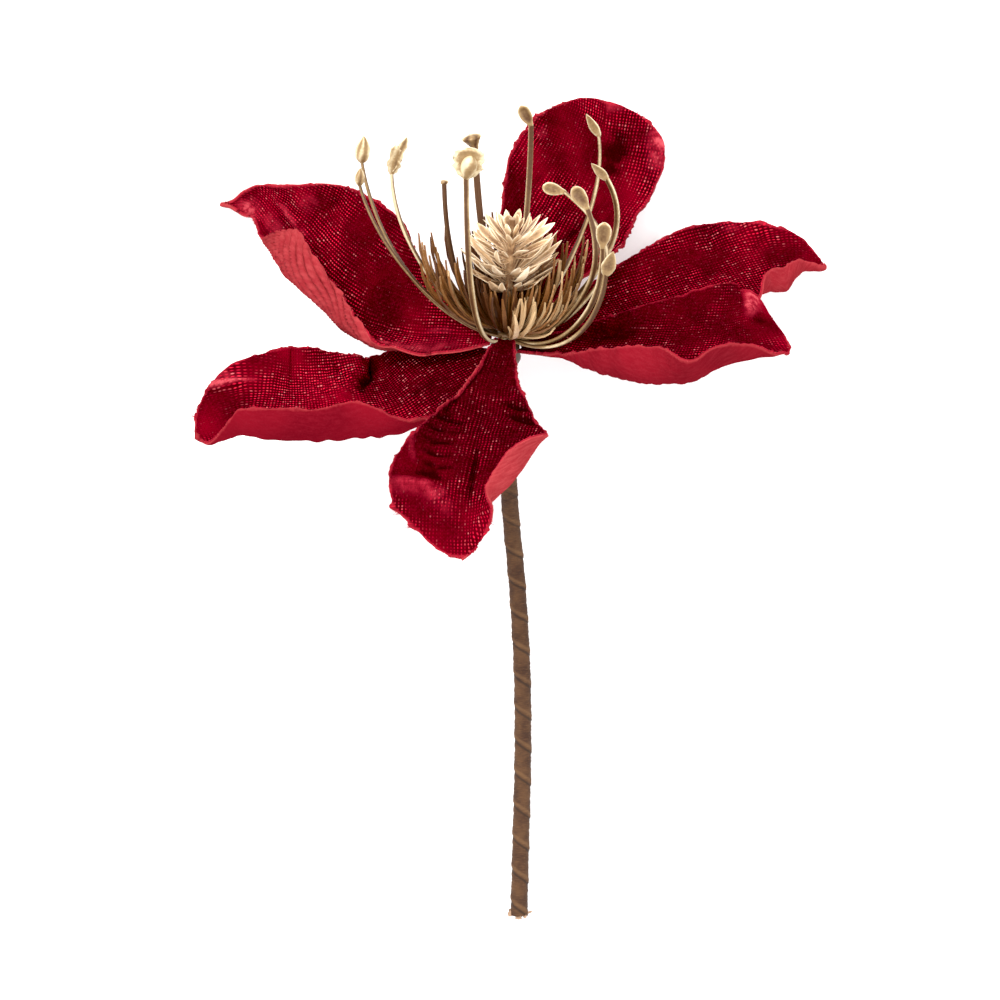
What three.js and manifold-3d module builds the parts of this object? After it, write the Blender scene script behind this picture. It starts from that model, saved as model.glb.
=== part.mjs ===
// A made magnolia on a taped wire stem, laid down on a table as it is seen from straight above.
// Millimetres. +Z is up from the table, +Y points from the stem's cut end to the flower, +X is to the right.
// The flower is modelled about its own axis (its local +Z) and then tilted back, so that its face
// looks up and towards +Y, and the stem curves down from it to the table.
import * as THREE from 'three';
import { mergeVertices } from 'three/addons/utils/BufferGeometryUtils.js';
import Module from 'manifold-3d';

const wasm = await Module();
wasm.setup();

// Driving dimensions
const HUB_PLACE = [-1.7, 46.2, 39.4]; // where the flower's axis crosses the petal bases
const AXIS_ABOVE_TABLE = 32; // degrees between the flower's axis and the table
const PETAL_THICKNESS = 1.2; // woven face and velour lining glued together
const WIRE_RADIUS = 1.1;
const TAPE_RADIUS = 2.1; // outer radius of the taped stem
const GAP = 0.3; // clearance between pieces that touch on the real flower
const SOCKET_DEPTH = 6; // how far the wire runs up into the receptacle
const RECEPTACLE_BOTTOM = -8;
const RECEPTACLE_TOP = 0.9;
const RECEPTACLE_RADIUS = 4;
const RECEPTACLE_FLARE = 2.5; // height over which it widens from the tape to its full radius
const RECEPTACLE_CHAMFER = 1;
const STRAIGHT_WIRE = 7; // the wire is straight this far below the receptacle
const STAMEN_DISC_RADIUS = 3;
const STAMEN_DISC_HEIGHT = 1.6;
const BRUSH_CUP_HEIGHT = 3.4;
const BRUSH_CUP_RADII = [5.5, 2]; // at its top and at its bottom
const CONE_PIN_RADIUS = 2;
const CONE_TOP = 38;

// Detail of the solids
const PETAL_ROWS = 22;
const WING_COLUMNS = 7;
const WING_SUBSTEPS = 4;
const STEM_STEPS = 26;
const STEM_SIDES = 10;
const RECEPTACLE_SIDES = 16;
const DISC_SIDES = 12;
const CUP_SIDES = 16;
const PIN_SIDES = 10;
const STAMEN_RINGS = 14;
const STAMEN_SIDES = 5;
const STAMEN_POINTS = 9;
const NEEDLE_STEPS = 4;
const NEEDLE_SIDES = 3;
const NEEDLE_POINTS = 5;

// A petal's tip is rounded by this power, and its bend grows from spine to rim by that one
const TIP_ROUNDING = 8;
const BEND_GROWTH = 1.5;

// The petals. All are the same cut piece of cloth, bent by hand in different ways. The spine is the
// petal's midrib as [out from the axis, aside, along the axis]; each wing, right and left of it, has
// its width and its bend at the spine and at the rim (degrees, 90 stands straight up) at even steps
// from the base to the tip.
const PETALS = [
  {
    name: 'petal_left_upper',
    azimuth: 152,
    spine: [
      [4.5, 1, -0.5], [16, 5, -1], [28, 8, -2], [40, 9, -1], [53, 8, 3], [66, 3, 7], [79, -4, 11],
      [89, -9, 14], [99, -9, 14],
    ],
    right: {
      width: [3, 15, 25, 31, 31, 25.5, 15, 4],
      root: [30, 40, 45, 50, 50, 60, 60],
      rim: [45, 55, 60, 65, 80, 110, 140],
    },
    left: {
      width: [3, 13, 18, 22, 25, 20, 13, 4],
      root: [-10, -15, -10, 0, 15, 25, 35, 40],
      rim: [20, 80, 125, 155, 175, 175, 160, 140],
    },
  },
  {
    name: 'petal_left_lower',
    azimuth: 198,
    spine: [
      [4.5, 1, -4], [20, 4, -6], [34, 6, -11], [49, 5, -13], [64, 2, -13], [77, -3, -14], [90, -4, -19],
    ],
    right: {
      width: [3, 13, 23, 24, 26, 24, 19],
      root: [10, 0, -5, 0, 0, 5, 10],
      rim: [20, 10, 15, 40, 50, 50, 20],
    },
    left: {
      width: [3, 12, 21, 26, 26, 23, 18],
      root: [0, -15, -20, -20, -15, -5, 0],
      rim: [20, 10, 60, 135, 125, 90, 30],
    },
  },
  {
    name: 'petal_front',
    azimuth: 259,
    spine: [[4.5, 0, -1.5], [19, -1, -4], [35, 0, -6], [49, 0, -9], [58, 0, -12], [68, 1, -18], [75, 2, -25]],
    right: {
      width: [3, 8, 13, 19, 22, 20, 11],
      root: [10, 10, 10, 5, 0, 0, 0],
      rim: [20, 30, 25, 10, 0, 0, 0],
    },
    left: {
      width: [3, 6.5, 10, 15.5, 22, 25, 22, 15],
      root: [10, 10, 10, 10, 10, 10, 15, 0],
      rim: [20, 20, 10, 10, 30, 120, 150, 60],
    },
  },
  {
    name: 'petal_back',
    azimuth: 70,
    spine: [[4.5, 1, -5], [28, 1, 9], [54, -3, 21], [69, -7, 31], [77, -12, 36]],
    right: {
      width: [3, 10, 18, 20.5, 28],
      root: [0, 0, -10, -30, -40],
      rim: [70, 20, 0, -20, -30],
    },
    left: {
      width: [3, 11, 21, 24, 20],
      root: [30, 30, 35, 45, 50],
      rim: [50, 50, 45, 50, 50],
    },
  },
  {
    name: 'petal_right_upper',
    azimuth: 20,
    spine: [[4.5, -1, -3.5], [21, 2, -1], [38, 3, 0], [53, 3, 2], [69, 3, 4], [84, 2, 7], [96, -2, 6]],
    right: {
      width: [3, 12, 20, 24, 24, 19, 10],
      root: [0, -10, -10, -5, 0, 0, 0],
      rim: [0, -10, -10, 0, 30, 80, 70],
    },
    left: {
      width: [3, 8, 15, 20, 25, 22, 12],
      root: [20, 10, 5, 10, 10, 10, 10],
      rim: [70, 40, 40, 40, 40, 30, 20],
    },
  },
  {
    name: 'petal_right_lower',
    azimuth: 341,
    spine: [[4.5, 0, -2], [22, -2, 0.5], [40, -4, 4], [56, -5, 8], [69, -4, 11], [80, 1, 11]],
    right: {
      width: [3, 10, 20, 28, 22, 15],
      root: [0, -5, -25, -30, -10, 10],
      rim: [20, 70, 130, 140, 110, 40],
    },
    left: {
      width: [3, 11.5, 19, 25, 29, 48],
      root: [10, 10, 10, 10, 10, 0],
      rim: [20, 40, 40, 40, 30, 0],
    },
  },
];

// The long stamens: azimuth, reach and height of the tip, drift of the tip towards the axis, the
// roundness of the bowl that the stamen follows (exponent, 2 is a round one), and the half width and
// length of the anther
const STAMENS = [
  { azimuth: 170, reach: 41, height: 60, drift: 0, roundness: 1.75, anther: [2.1, 9] },
  { azimuth: 179, reach: 41, height: 53, drift: 0, roundness: 1.65, anther: [1.5, 6] },
  { azimuth: 160, reach: 39, height: 57, drift: 6, roundness: 1.65, anther: [2.2, 10] },
  { azimuth: 156, reach: 18, height: 44, drift: 0, roundness: 2.2, anther: [1.3, 2] },
  { azimuth: 222, reach: 17, height: 66, drift: 0, roundness: 3, anther: [4.2, 9] },
  { azimuth: 112, reach: 24, height: 52, drift: 0, roundness: 1.7, anther: [2.6, 5] },
  { azimuth: 76, reach: 29, height: 60, drift: 2, roundness: 1.7, anther: [2, 8] },
  { azimuth: 42, reach: 41, height: 57, drift: 7, roundness: 1.75, anther: [1.7, 7] },
  { azimuth: 10, reach: 38, height: 51, drift: 10, roundness: 1.8, anther: [1.7, 6] },
  { azimuth: 350, reach: 33, height: 51, drift: 20, roundness: 1.9, anther: [2.2, 7] },
  { azimuth: 332, reach: 31, height: 53, drift: 10, roundness: 1.9, anther: [2.6, 8] },
  { azimuth: 317, reach: 37, height: 49, drift: 3, roundness: 2, anther: [2.5, 8] },
  { azimuth: 312, reach: 41, height: 45, drift: 1, roundness: 2, anther: [2, 8] },
];
const STAMEN_RADIUS = 0.7;
const DRIFT_FROM = 0.6; // share of a stamen's way after which it drifts
const ANTHER_SWELLING = 0.8; // power that moves an anther's widest place towards its base
const ANTHER_END = 0.94; // where its swelling is cut off, so that the tip isn't a point

// The needles: a low ring under the cone and a high one round it, and how far up their cup they start
const NEEDLE_RINGS = [
  { count: 18, reach: [8, 12], height: [15, 18], rise: 2.4 },
  { count: 52, reach: [17, 26], height: [19, 31], rise: 0.9 },
];
const NEEDLE_RADIUS = 0.5;
const NEEDLE_ROUNDNESS = 1.7;
const NEEDLE_TAPER = 0.6; // share of the radius lost at the tip
const NEEDLE_SCATTER = 3; // degrees
// No needle stands this near, in degrees and in reach, to a stamen that rises among the needles
const AZIMUTH_CLEARANCE = 9;
const REACH_CLEARANCE = 8;

// The tiers of the cone: number of scales, where their tips lie (out, up) and their width
const TIERS = [
  { scales: 15, tip: [13.4, 24.5], width: 2.6 },
  { scales: 14, tip: [12.8, 27.6], width: 2.6 },
  { scales: 13, tip: [11.4, 30.6], width: 2.5 },
  { scales: 11, tip: [9.2, 33.8], width: 2.4 },
  { scales: 8, tip: [6.4, 37], width: 2.3 },
  { scales: 5, tip: [3.4, 39.6], width: 2.2 },
];
const SCALE_THICKNESS = 1;
const SCALE_ROOT_SHARE = 0.28; // of the scale's width
const SCALE_TIP_SHARE = 0.4;
const SCALE_SEAT = 0.8; // how far out on the pin's radius a scale starts
const SCALE_SLOPES = [16, 20, 27, 37, 52, 70]; // degrees up from square to the axis

// Colours
const CLOTH_WINE = 0x7d0a1f;
const PLASTIC_CHAMPAGNE = 0xcbb692;
const PLASTIC_GOLD_BROWN = 0x8a6238;
const PAPER_BROWN = 0x73553c;
const STEEL = 0x8d8d8f;

const radians = THREE.MathUtils.degToRad;

function material(color, roughness, metalness) {
  return new THREE.MeshStandardMaterial({ color, roughness, metalness });
}

// A repeatable random draw between 0 and 1
function seeded(seed) {
  let state = seed;
  return () => {
    state = (state * 16807) % 2147483647;
    return state / 2147483647;
  };
}

// The smooth curve through evenly spaced numbers, u running from 0 to 1
function through(values, u) {
  const spans = values.length - 1;
  const x = u * spans;
  const i = Math.min(Math.floor(x), spans - 1);
  const f = x - i;
  const before = i === 0 ? 2 * values[0] - values[1] : values[i - 1];
  const after = i === spans - 1 ? 2 * values[spans] - values[spans - 1] : values[i + 2];
  const leave = (values[i + 1] - before) / 2;
  const arrive = (after - values[i]) / 2;
  const rise = values[i + 1] - values[i];
  const bend = 3 * rise - 2 * leave - arrive;
  return values[i] + f * leave + f ** 2 * bend + f ** 3 * (leave + arrive - 2 * rise);
}

function curveThrough(points) {
  const places = points.map((p) => new THREE.Vector3(...p));
  const curve = new THREE.CatmullRomCurve3(places, false, 'catmullrom', 0.5);
  curve.arcLengthDivisions = 600;
  return curve;
}

// A closed mesh from its corners and its triangles
function closedGeometry(corners, triangles) {
  const geometry = new THREE.BufferGeometry();
  geometry.setAttribute('position', new THREE.Float32BufferAttribute(corners.flatMap((p) => p.toArray()), 3));
  geometry.setIndex(triangles.flat());
  return geometry;
}

function toSolid(geometry) {
  const bare = geometry.clone();
  bare.deleteAttribute('normal');
  bare.deleteAttribute('uv');
  const merged = mergeVertices(bare, 1e-5);
  return new wasm.Manifold(new wasm.Mesh({
    numProp: 3,
    vertProperties: new Float32Array(merged.attributes.position.array),
    triVerts: new Uint32Array(merged.index.array),
  }));
}

// Joins closed geometries into one
function fuse(geometries) {
  const joined = geometries.map(toSolid).reduce((sum, next) => sum.add(next));
  const mesh = joined.getMesh();
  const geometry = new THREE.BufferGeometry();
  geometry.setAttribute('position', new THREE.BufferAttribute(mesh.vertProperties, 3));
  geometry.setIndex(new THREE.BufferAttribute(mesh.triVerts, 1));
  return geometry;
}

function makeMesh(name, geometry, look) {
  geometry.computeVertexNormals();
  const mesh = new THREE.Mesh(geometry, look);
  mesh.name = name;
  return mesh;
}

// One row across a petal at s (0 at the base, 1 at the tip), from the left rim to the right rim
function petalRow(petal, spine, s) {
  const along = spine.getTangentAt(s);
  const up = new THREE.Vector3(0, 0, 1).addScaledVector(along, -along.z).normalize();
  const side = new THREE.Vector3().crossVectors(along, up);
  const rounding = Math.sqrt(1 - s ** TIP_ROUNDING);
  const wing = (shape, sign) => {
    const width = through(shape.width, s) * rounding;
    const root = radians(through(shape.root, s));
    const rim = radians(through(shape.rim, s));
    const steps = WING_COLUMNS * WING_SUBSTEPS;
    const point = spine.getPointAt(s);
    const points = [];
    for (let k = 0; k < steps; k++) {
      const bend = root + (rim - root) * ((k + 0.5) / steps) ** BEND_GROWTH;
      point.addScaledVector(side, (sign * Math.cos(bend) * width) / steps);
      point.addScaledVector(up, (Math.sin(bend) * width) / steps);
      if ((k + 1) % WING_SUBSTEPS === 0) points.push(point.clone());
    }
    return points;
  };
  return [...wing(petal.left, -1).reverse(), spine.getPointAt(s), ...wing(petal.right, 1)];
}

// A petal as one closed blade of even thickness, its tip a single edge
function petalGeometry(petal) {
  const spine = curveThrough(petal.spine);
  const rows = [];
  for (let i = 0; i < PETAL_ROWS; i++) rows.push(petalRow(petal, spine, i / PETAL_ROWS));
  const across = rows[0].length;
  const tip = spine.getPointAt(1);
  const corners = [];
  const facing = (i, j) => {
    const next = i + 1 < PETAL_ROWS ? rows[i + 1][j] : tip;
    const alongPetal = new THREE.Vector3().subVectors(next, rows[Math.max(i - 1, 0)][j]);
    const [before, after] = [rows[i][Math.max(j - 1, 0)], rows[i][Math.min(j + 1, across - 1)]];
    const acrossPetal = new THREE.Vector3().subVectors(after, before);
    return acrossPetal.cross(alongPetal).normalize();
  };
  const half = PETAL_THICKNESS / 2;
  for (const lift of [half, -half]) {
    for (let i = 0; i < PETAL_ROWS; i++) {
      for (let j = 0; j < across; j++) corners.push(rows[i][j].clone().addScaledVector(facing(i, j), lift));
    }
    corners.push(tip.clone().addScaledVector(facing(PETAL_ROWS - 1, WING_COLUMNS), lift));
  }
  const layer = PETAL_ROWS * across + 1;
  const at = (i, j) => (i < PETAL_ROWS ? i * across + j : layer - 1);
  const triangles = [];
  const addFace = (a, b, c) => {
    triangles.push([a, b, c]);
    triangles.push([a + layer, c + layer, b + layer]);
  };
  for (let i = 0; i < PETAL_ROWS; i++) {
    for (let j = 0; j < across - 1; j++) {
      addFace(at(i, j), at(i, j + 1), at(i + 1, j));
      if (i + 1 < PETAL_ROWS) addFace(at(i, j + 1), at(i + 1, j + 1), at(i + 1, j));
    }
  }
  const addWall = (a, b) => {
    triangles.push([a, a + layer, b]);
    triangles.push([b, a + layer, b + layer]);
  };
  for (let j = 0; j < across - 1; j++) addWall(at(0, j), at(0, j + 1));
  for (let i = 0; i < PETAL_ROWS; i++) {
    addWall(at(i, across - 1), at(i + 1, across - 1));
    addWall(at(i + 1, 0), at(i, 0));
  }
  return closedGeometry(corners, triangles);
}

function makePetal(petal) {
  const mesh = makeMesh(petal.name, petalGeometry(petal), material(CLOTH_WINE, 0.9, 0));
  mesh.rotation.z = radians(petal.azimuth);
  return mesh;
}

// A rod of changing radius along a curve, flat at both ends
function rod(curve, radiusAt, rings, sides) {
  const frames = curve.computeFrenetFrames(rings, false);
  const corners = [];
  for (let i = 0; i <= rings; i++) {
    const centre = curve.getPointAt(i / rings);
    for (let k = 0; k < sides; k++) {
      const turn = (2 * Math.PI * k) / sides;
      const radius = radiusAt(i / rings);
      corners.push(centre.clone()
        .addScaledVector(frames.normals[i], radius * Math.cos(turn))
        .addScaledVector(frames.binormals[i], radius * Math.sin(turn)));
    }
  }
  const triangles = [];
  for (let i = 0; i < rings; i++) {
    for (let k = 0; k < sides; k++) {
      const a = i * sides + k;
      const b = i * sides + ((k + 1) % sides);
      triangles.push([a, b, a + sides]);
      triangles.push([b, b + sides, a + sides]);
    }
  }
  const last = rings * sides;
  for (let k = 1; k < sides - 1; k++) {
    triangles.push([0, k + 1, k]);
    triangles.push([last, last + k, last + k + 1]);
  }
  return closedGeometry(corners, triangles);
}

// The bowl-shaped way from the axis out and up to a tip, turned to its azimuth
function bowlCurve({ azimuth, reach, height, start, roundness, points, drift = 0 }) {
  const turn = radians(azimuth);
  const power = 2 / roundness;
  const path = [];
  for (let i = 0; i <= points; i++) {
    const t = i / points;
    const angle = (t * Math.PI) / 2;
    const drifted = Math.max(0, (t - DRIFT_FROM) / (1 - DRIFT_FROM));
    const out = 1 + (reach - 1) * Math.sin(angle) ** power - drift * drifted ** 2;
    const up = start + (height - start) * (1 - Math.cos(angle) ** power);
    path.push([out * Math.cos(turn), out * Math.sin(turn), up]);
  }
  return curveThrough(path);
}

function disc([topRadius, bottomRadius], bottom, height, sides) {
  const geometry = new THREE.CylinderGeometry(topRadius, bottomRadius, height, sides);
  geometry.rotateX(Math.PI / 2);
  geometry.translate(0, 0, bottom + height / 2);
  return geometry;
}

// The receptacle: a small plastic cup on the wire's end, which carries petals and centre
function makeReceptacle() {
  const profile = [
    [0, RECEPTACLE_BOTTOM + SOCKET_DEPTH],
    [WIRE_RADIUS + GAP, RECEPTACLE_BOTTOM + SOCKET_DEPTH],
    [WIRE_RADIUS + GAP, RECEPTACLE_BOTTOM],
    [TAPE_RADIUS + GAP, RECEPTACLE_BOTTOM],
    [RECEPTACLE_RADIUS, RECEPTACLE_BOTTOM + RECEPTACLE_FLARE],
    [RECEPTACLE_RADIUS, RECEPTACLE_TOP - RECEPTACLE_CHAMFER],
    [RECEPTACLE_RADIUS - RECEPTACLE_CHAMFER, RECEPTACLE_TOP],
    [0, RECEPTACLE_TOP],
  ].map(([radius, z]) => new THREE.Vector2(radius, z));
  const geometry = new THREE.LatheGeometry(profile, RECEPTACLE_SIDES);
  geometry.rotateX(Math.PI / 2);
  return makeMesh('receptacle', mergedLathe(geometry), material(PAPER_BROWN, 0.8, 0));
}

// A lathe's geometry with its seam and its poles closed
function mergedLathe(geometry) {
  geometry.deleteAttribute('normal');
  geometry.deleteAttribute('uv');
  return mergeVertices(geometry, 1e-4);
}

// The long stamens, moulded as one spray on a small disc
function makeStamens() {
  const bottom = RECEPTACLE_TOP + GAP;
  const pieces = [disc([STAMEN_DISC_RADIUS, STAMEN_DISC_RADIUS], bottom, STAMEN_DISC_HEIGHT, DISC_SIDES)];
  for (const stamen of STAMENS) {
    const curve = bowlCurve({ ...stamen, start: bottom + STAMEN_DISC_HEIGHT / 2, points: STAMEN_POINTS });
    const [antherRadius, antherLength] = stamen.anther;
    const antherStart = 1 - antherLength / curve.getLength();
    const radiusAt = (t) => {
      if (t <= antherStart) return STAMEN_RADIUS;
      const inside = (t - antherStart) / (1 - antherStart);
      const swelling = Math.sin(Math.PI * Math.min(ANTHER_END, inside ** ANTHER_SWELLING));
      return STAMEN_RADIUS * (1 - inside) + antherRadius * swelling;
    };
    pieces.push(rod(curve, radiusAt, STAMEN_RINGS, STAMEN_SIDES));
  }
  return makeMesh('long_stamens', fuse(pieces), material(PLASTIC_CHAMPAGNE, 0.45, 0));
}

// Whether a stamen stands where a needle of this reach would
function meetsStamen(azimuth, reach) {
  return STAMENS.some((stamen) => {
    const apart = ((azimuth - stamen.azimuth + 540) % 360) - 180;
    return stamen.reach < reach + REACH_CLEARANCE && Math.abs(apart) < AZIMUTH_CLEARANCE;
  });
}

// The brush of needles, moulded as one piece on its own small cup
function makeBrush() {
  const random = seeded(7);
  const between = ([low, high]) => low + (high - low) * random();
  const bottom = RECEPTACLE_TOP + STAMEN_DISC_HEIGHT + 2 * GAP;
  const pieces = [disc(BRUSH_CUP_RADII, bottom, BRUSH_CUP_HEIGHT, CUP_SIDES)];
  for (const ringOfNeedles of NEEDLE_RINGS) {
    for (let i = 0; i < ringOfNeedles.count; i++) {
      const azimuth = (i * 360) / ringOfNeedles.count + NEEDLE_SCATTER * random();
      const reach = between(ringOfNeedles.reach);
      const height = between(ringOfNeedles.height);
      if (meetsStamen(azimuth, reach)) continue;
      const curve = bowlCurve({
        azimuth,
        reach,
        height,
        start: bottom + ringOfNeedles.rise,
        roundness: NEEDLE_ROUNDNESS,
        points: NEEDLE_POINTS,
      });
      pieces.push(rod(curve, (t) => NEEDLE_RADIUS * (1 - NEEDLE_TAPER * t), NEEDLE_STEPS, NEEDLE_SIDES));
    }
  }
  return makeMesh('needle_brush', fuse(pieces), material(PLASTIC_GOLD_BROWN, 0.5, 0));
}

// One flat round-ended scale, its root at the origin, pointing along +X
function scaleGeometry(length, width) {
  const root = (SCALE_ROOT_SHARE * width) / 2;
  const tip = (SCALE_TIP_SHARE * width) / 2;
  const outline = new THREE.Shape();
  outline.moveTo(0, -root);
  outline.lineTo(length - width, -width / 2);
  outline.lineTo(length, -tip);
  outline.lineTo(length, tip);
  outline.lineTo(length - width, width / 2);
  outline.lineTo(0, root);
  const geometry = new THREE.ExtrudeGeometry(outline, { depth: SCALE_THICKNESS, bevelEnabled: false });
  geometry.translate(0, 0, -SCALE_THICKNESS / 2);
  return geometry;
}

// The cone in the middle: tiers of scales round a pin
function makeCone() {
  const bottom = RECEPTACLE_TOP + STAMEN_DISC_HEIGHT + BRUSH_CUP_HEIGHT + 3 * GAP;
  const pieces = [disc([CONE_PIN_RADIUS, CONE_PIN_RADIUS], bottom, CONE_TOP - bottom, PIN_SIDES)];
  TIERS.forEach((tier, level) => {
    const slope = radians(SCALE_SLOPES[level]);
    const rootRadius = SCALE_SEAT * CONE_PIN_RADIUS;
    const length = (tier.tip[0] - rootRadius) / Math.cos(slope);
    const rootHeight = tier.tip[1] - length * Math.sin(slope);
    for (let i = 0; i < tier.scales; i++) {
      const geometry = scaleGeometry(length, tier.width);
      geometry.rotateY(-slope);
      geometry.translate(rootRadius, 0, rootHeight);
      geometry.rotateZ((2 * Math.PI * (i + 0.5 * (level % 2))) / tier.scales);
      pieces.push(geometry);
    }
  });
  return makeMesh('centre_cone', fuse(pieces), material(PLASTIC_CHAMPAGNE, 0.4, 0));
}

// The stem's centre line in the table's frame, from the cut end up to the wire's top on the flower's axis
function stemCurve(flower) {
  const onAxis = (z) => flower.localToWorld(new THREE.Vector3(0, 0, z)).toArray();
  return curveThrough([
    [1.8, -119.3, 2.2],
    [2.3, -98.8, 2.8],
    [2.9, -73.8, 3.8],
    [2.7, -48.8, 5.6],
    [1.3, -23.8, 9],
    [-0.7, -1.8, 15.5],
    [-1.7, 17.2, 24.2],
    onAxis(RECEPTACLE_BOTTOM - STRAIGHT_WIRE),
    onAxis(RECEPTACLE_BOTTOM),
    onAxis(RECEPTACLE_BOTTOM + SOCKET_DEPTH - GAP),
  ]);
}

// The first stretch of a curve, up to a length
class Stretch extends THREE.Curve {
  constructor(whole, length) {
    super();
    this.whole = whole;
    this.share = length / whole.getLength();
    this.arcLengthDivisions = 600;
  }

  getPoint(t, target = new THREE.Vector3()) {
    return this.whole.getPointAt(t * this.share, target);
  }
}

function ring(radius, holeRadius = 0) {
  const shape = new THREE.Shape();
  for (let k = 0; k < STEM_SIDES; k++) {
    const turn = (2 * Math.PI * k) / STEM_SIDES;
    const place = [radius * Math.cos(turn), radius * Math.sin(turn)];
    if (k === 0) shape.moveTo(...place);
    else shape.lineTo(...place);
  }
  if (holeRadius > 0) {
    const hole = new THREE.Path();
    for (let k = 0; k < STEM_SIDES; k++) {
      const turn = (-2 * Math.PI * k) / STEM_SIDES;
      const place = [holeRadius * Math.cos(turn), holeRadius * Math.sin(turn)];
      if (k === 0) hole.moveTo(...place);
      else hole.lineTo(...place);
    }
    shape.holes.push(hole);
  }
  return shape;
}

function alongStem(shape, curve) {
  const settings = { extrudePath: curve, steps: STEM_STEPS, bevelEnabled: false };
  const geometry = new THREE.ExtrudeGeometry(shape, settings);
  geometry.deleteAttribute('normal');
  geometry.deleteAttribute('uv');
  return mergeVertices(geometry, 1e-4);
}

const flower = new THREE.Group();
flower.position.set(...HUB_PLACE);
flower.rotation.x = -radians(90 - AXIS_ABOVE_TABLE);
flower.updateMatrixWorld();
PETALS.forEach((petal) => flower.add(makePetal(petal)));
flower.add(makeReceptacle());
flower.add(makeStamens());
flower.add(makeBrush());
flower.add(makeCone());

const stem = stemCurve(flower);
const taped = new Stretch(stem, stem.getLength() - SOCKET_DEPTH);
const wire = makeMesh('stem_wire', alongStem(ring(WIRE_RADIUS), stem), material(STEEL, 0.4, 1));
const tapeShape = ring(TAPE_RADIUS, WIRE_RADIUS + GAP);
const tape = makeMesh('stem_tape', alongStem(tapeShape, taped), material(PAPER_BROWN, 0.85, 0));

const magnolia = new THREE.Group();
magnolia.add(flower, wire, tape);

export default magnolia;
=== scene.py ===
# An artificial magnolia on a taped wire stem, dressed round its CAD model.
# Sizes are millimetres until a piece is finished. The frame is the CAD model's: +Z is up from the
# table, +Y points from the stem's cut end to the flower. Flower pieces are shaped about the flower's
# own axis, their local +Z, and then tilted back as the CAD's are.
import math
import random
from contextlib import contextmanager

import bpy
import numpy as np
from mathutils import Matrix, Vector


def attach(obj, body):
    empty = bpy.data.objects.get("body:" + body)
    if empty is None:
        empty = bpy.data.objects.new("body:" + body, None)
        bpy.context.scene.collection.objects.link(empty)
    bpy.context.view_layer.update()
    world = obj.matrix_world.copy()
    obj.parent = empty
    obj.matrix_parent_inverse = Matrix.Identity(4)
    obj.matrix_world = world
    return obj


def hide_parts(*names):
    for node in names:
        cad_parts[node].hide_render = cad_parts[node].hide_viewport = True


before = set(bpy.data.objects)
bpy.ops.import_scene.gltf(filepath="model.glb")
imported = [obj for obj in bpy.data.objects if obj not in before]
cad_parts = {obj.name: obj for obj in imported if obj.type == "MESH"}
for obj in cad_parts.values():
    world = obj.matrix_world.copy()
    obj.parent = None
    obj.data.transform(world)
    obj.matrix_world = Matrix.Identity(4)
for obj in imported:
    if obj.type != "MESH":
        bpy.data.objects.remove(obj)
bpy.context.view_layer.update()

# Sizes shared with the CAD model
MM = 0.001
HUB_PLACE = (-1.7, 46.2, 39.4)
AXIS_ABOVE_TABLE = 32
TILT_BACK = math.radians(AXIS_ABOVE_TABLE - 90)
FLOWER_TILT = Matrix.Translation(HUB_PLACE) @ Matrix.Rotation(TILT_BACK, 4, "X")
TABLE = Matrix.Identity(4)
TIP_ROUNDING = 8
BEND_GROWTH = 1.5
TAPE_RADIUS = 2.1
RECEPTACLE_BOTTOM = -8
RECEPTACLE_TOP = 0.9

# The cloth of a petal: a woven face and a velour lining, glued together
LAYER_THICKNESS = 0.42
LAYER_LIFT = 0.23
CLOTH_ROWS = 160
WING_COLUMNS = 46
FLARED_BETWEEN = (0.5, 0.82)
RAGGED_EDGE = 0.28
# Lengths of the waves of the cloth at large, along its rims, of its small puckers and of the
# uneven patches in its painted light and shade
SWELL_LENGTHS = (34, 27, 21, 17)
FLUTTER_LENGTHS = (13, 9, 7)
PUCKER_LENGTHS = (5.5, 4.6, 3.9)
LIGHT_SHADE_LENGTHS = (31, 23, 15)
FIBRES_PER_MM = 7
TUFT_FIBRES = 9
# Flat cloth across the whole UV map
CLOTH_MAP = 200
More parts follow.
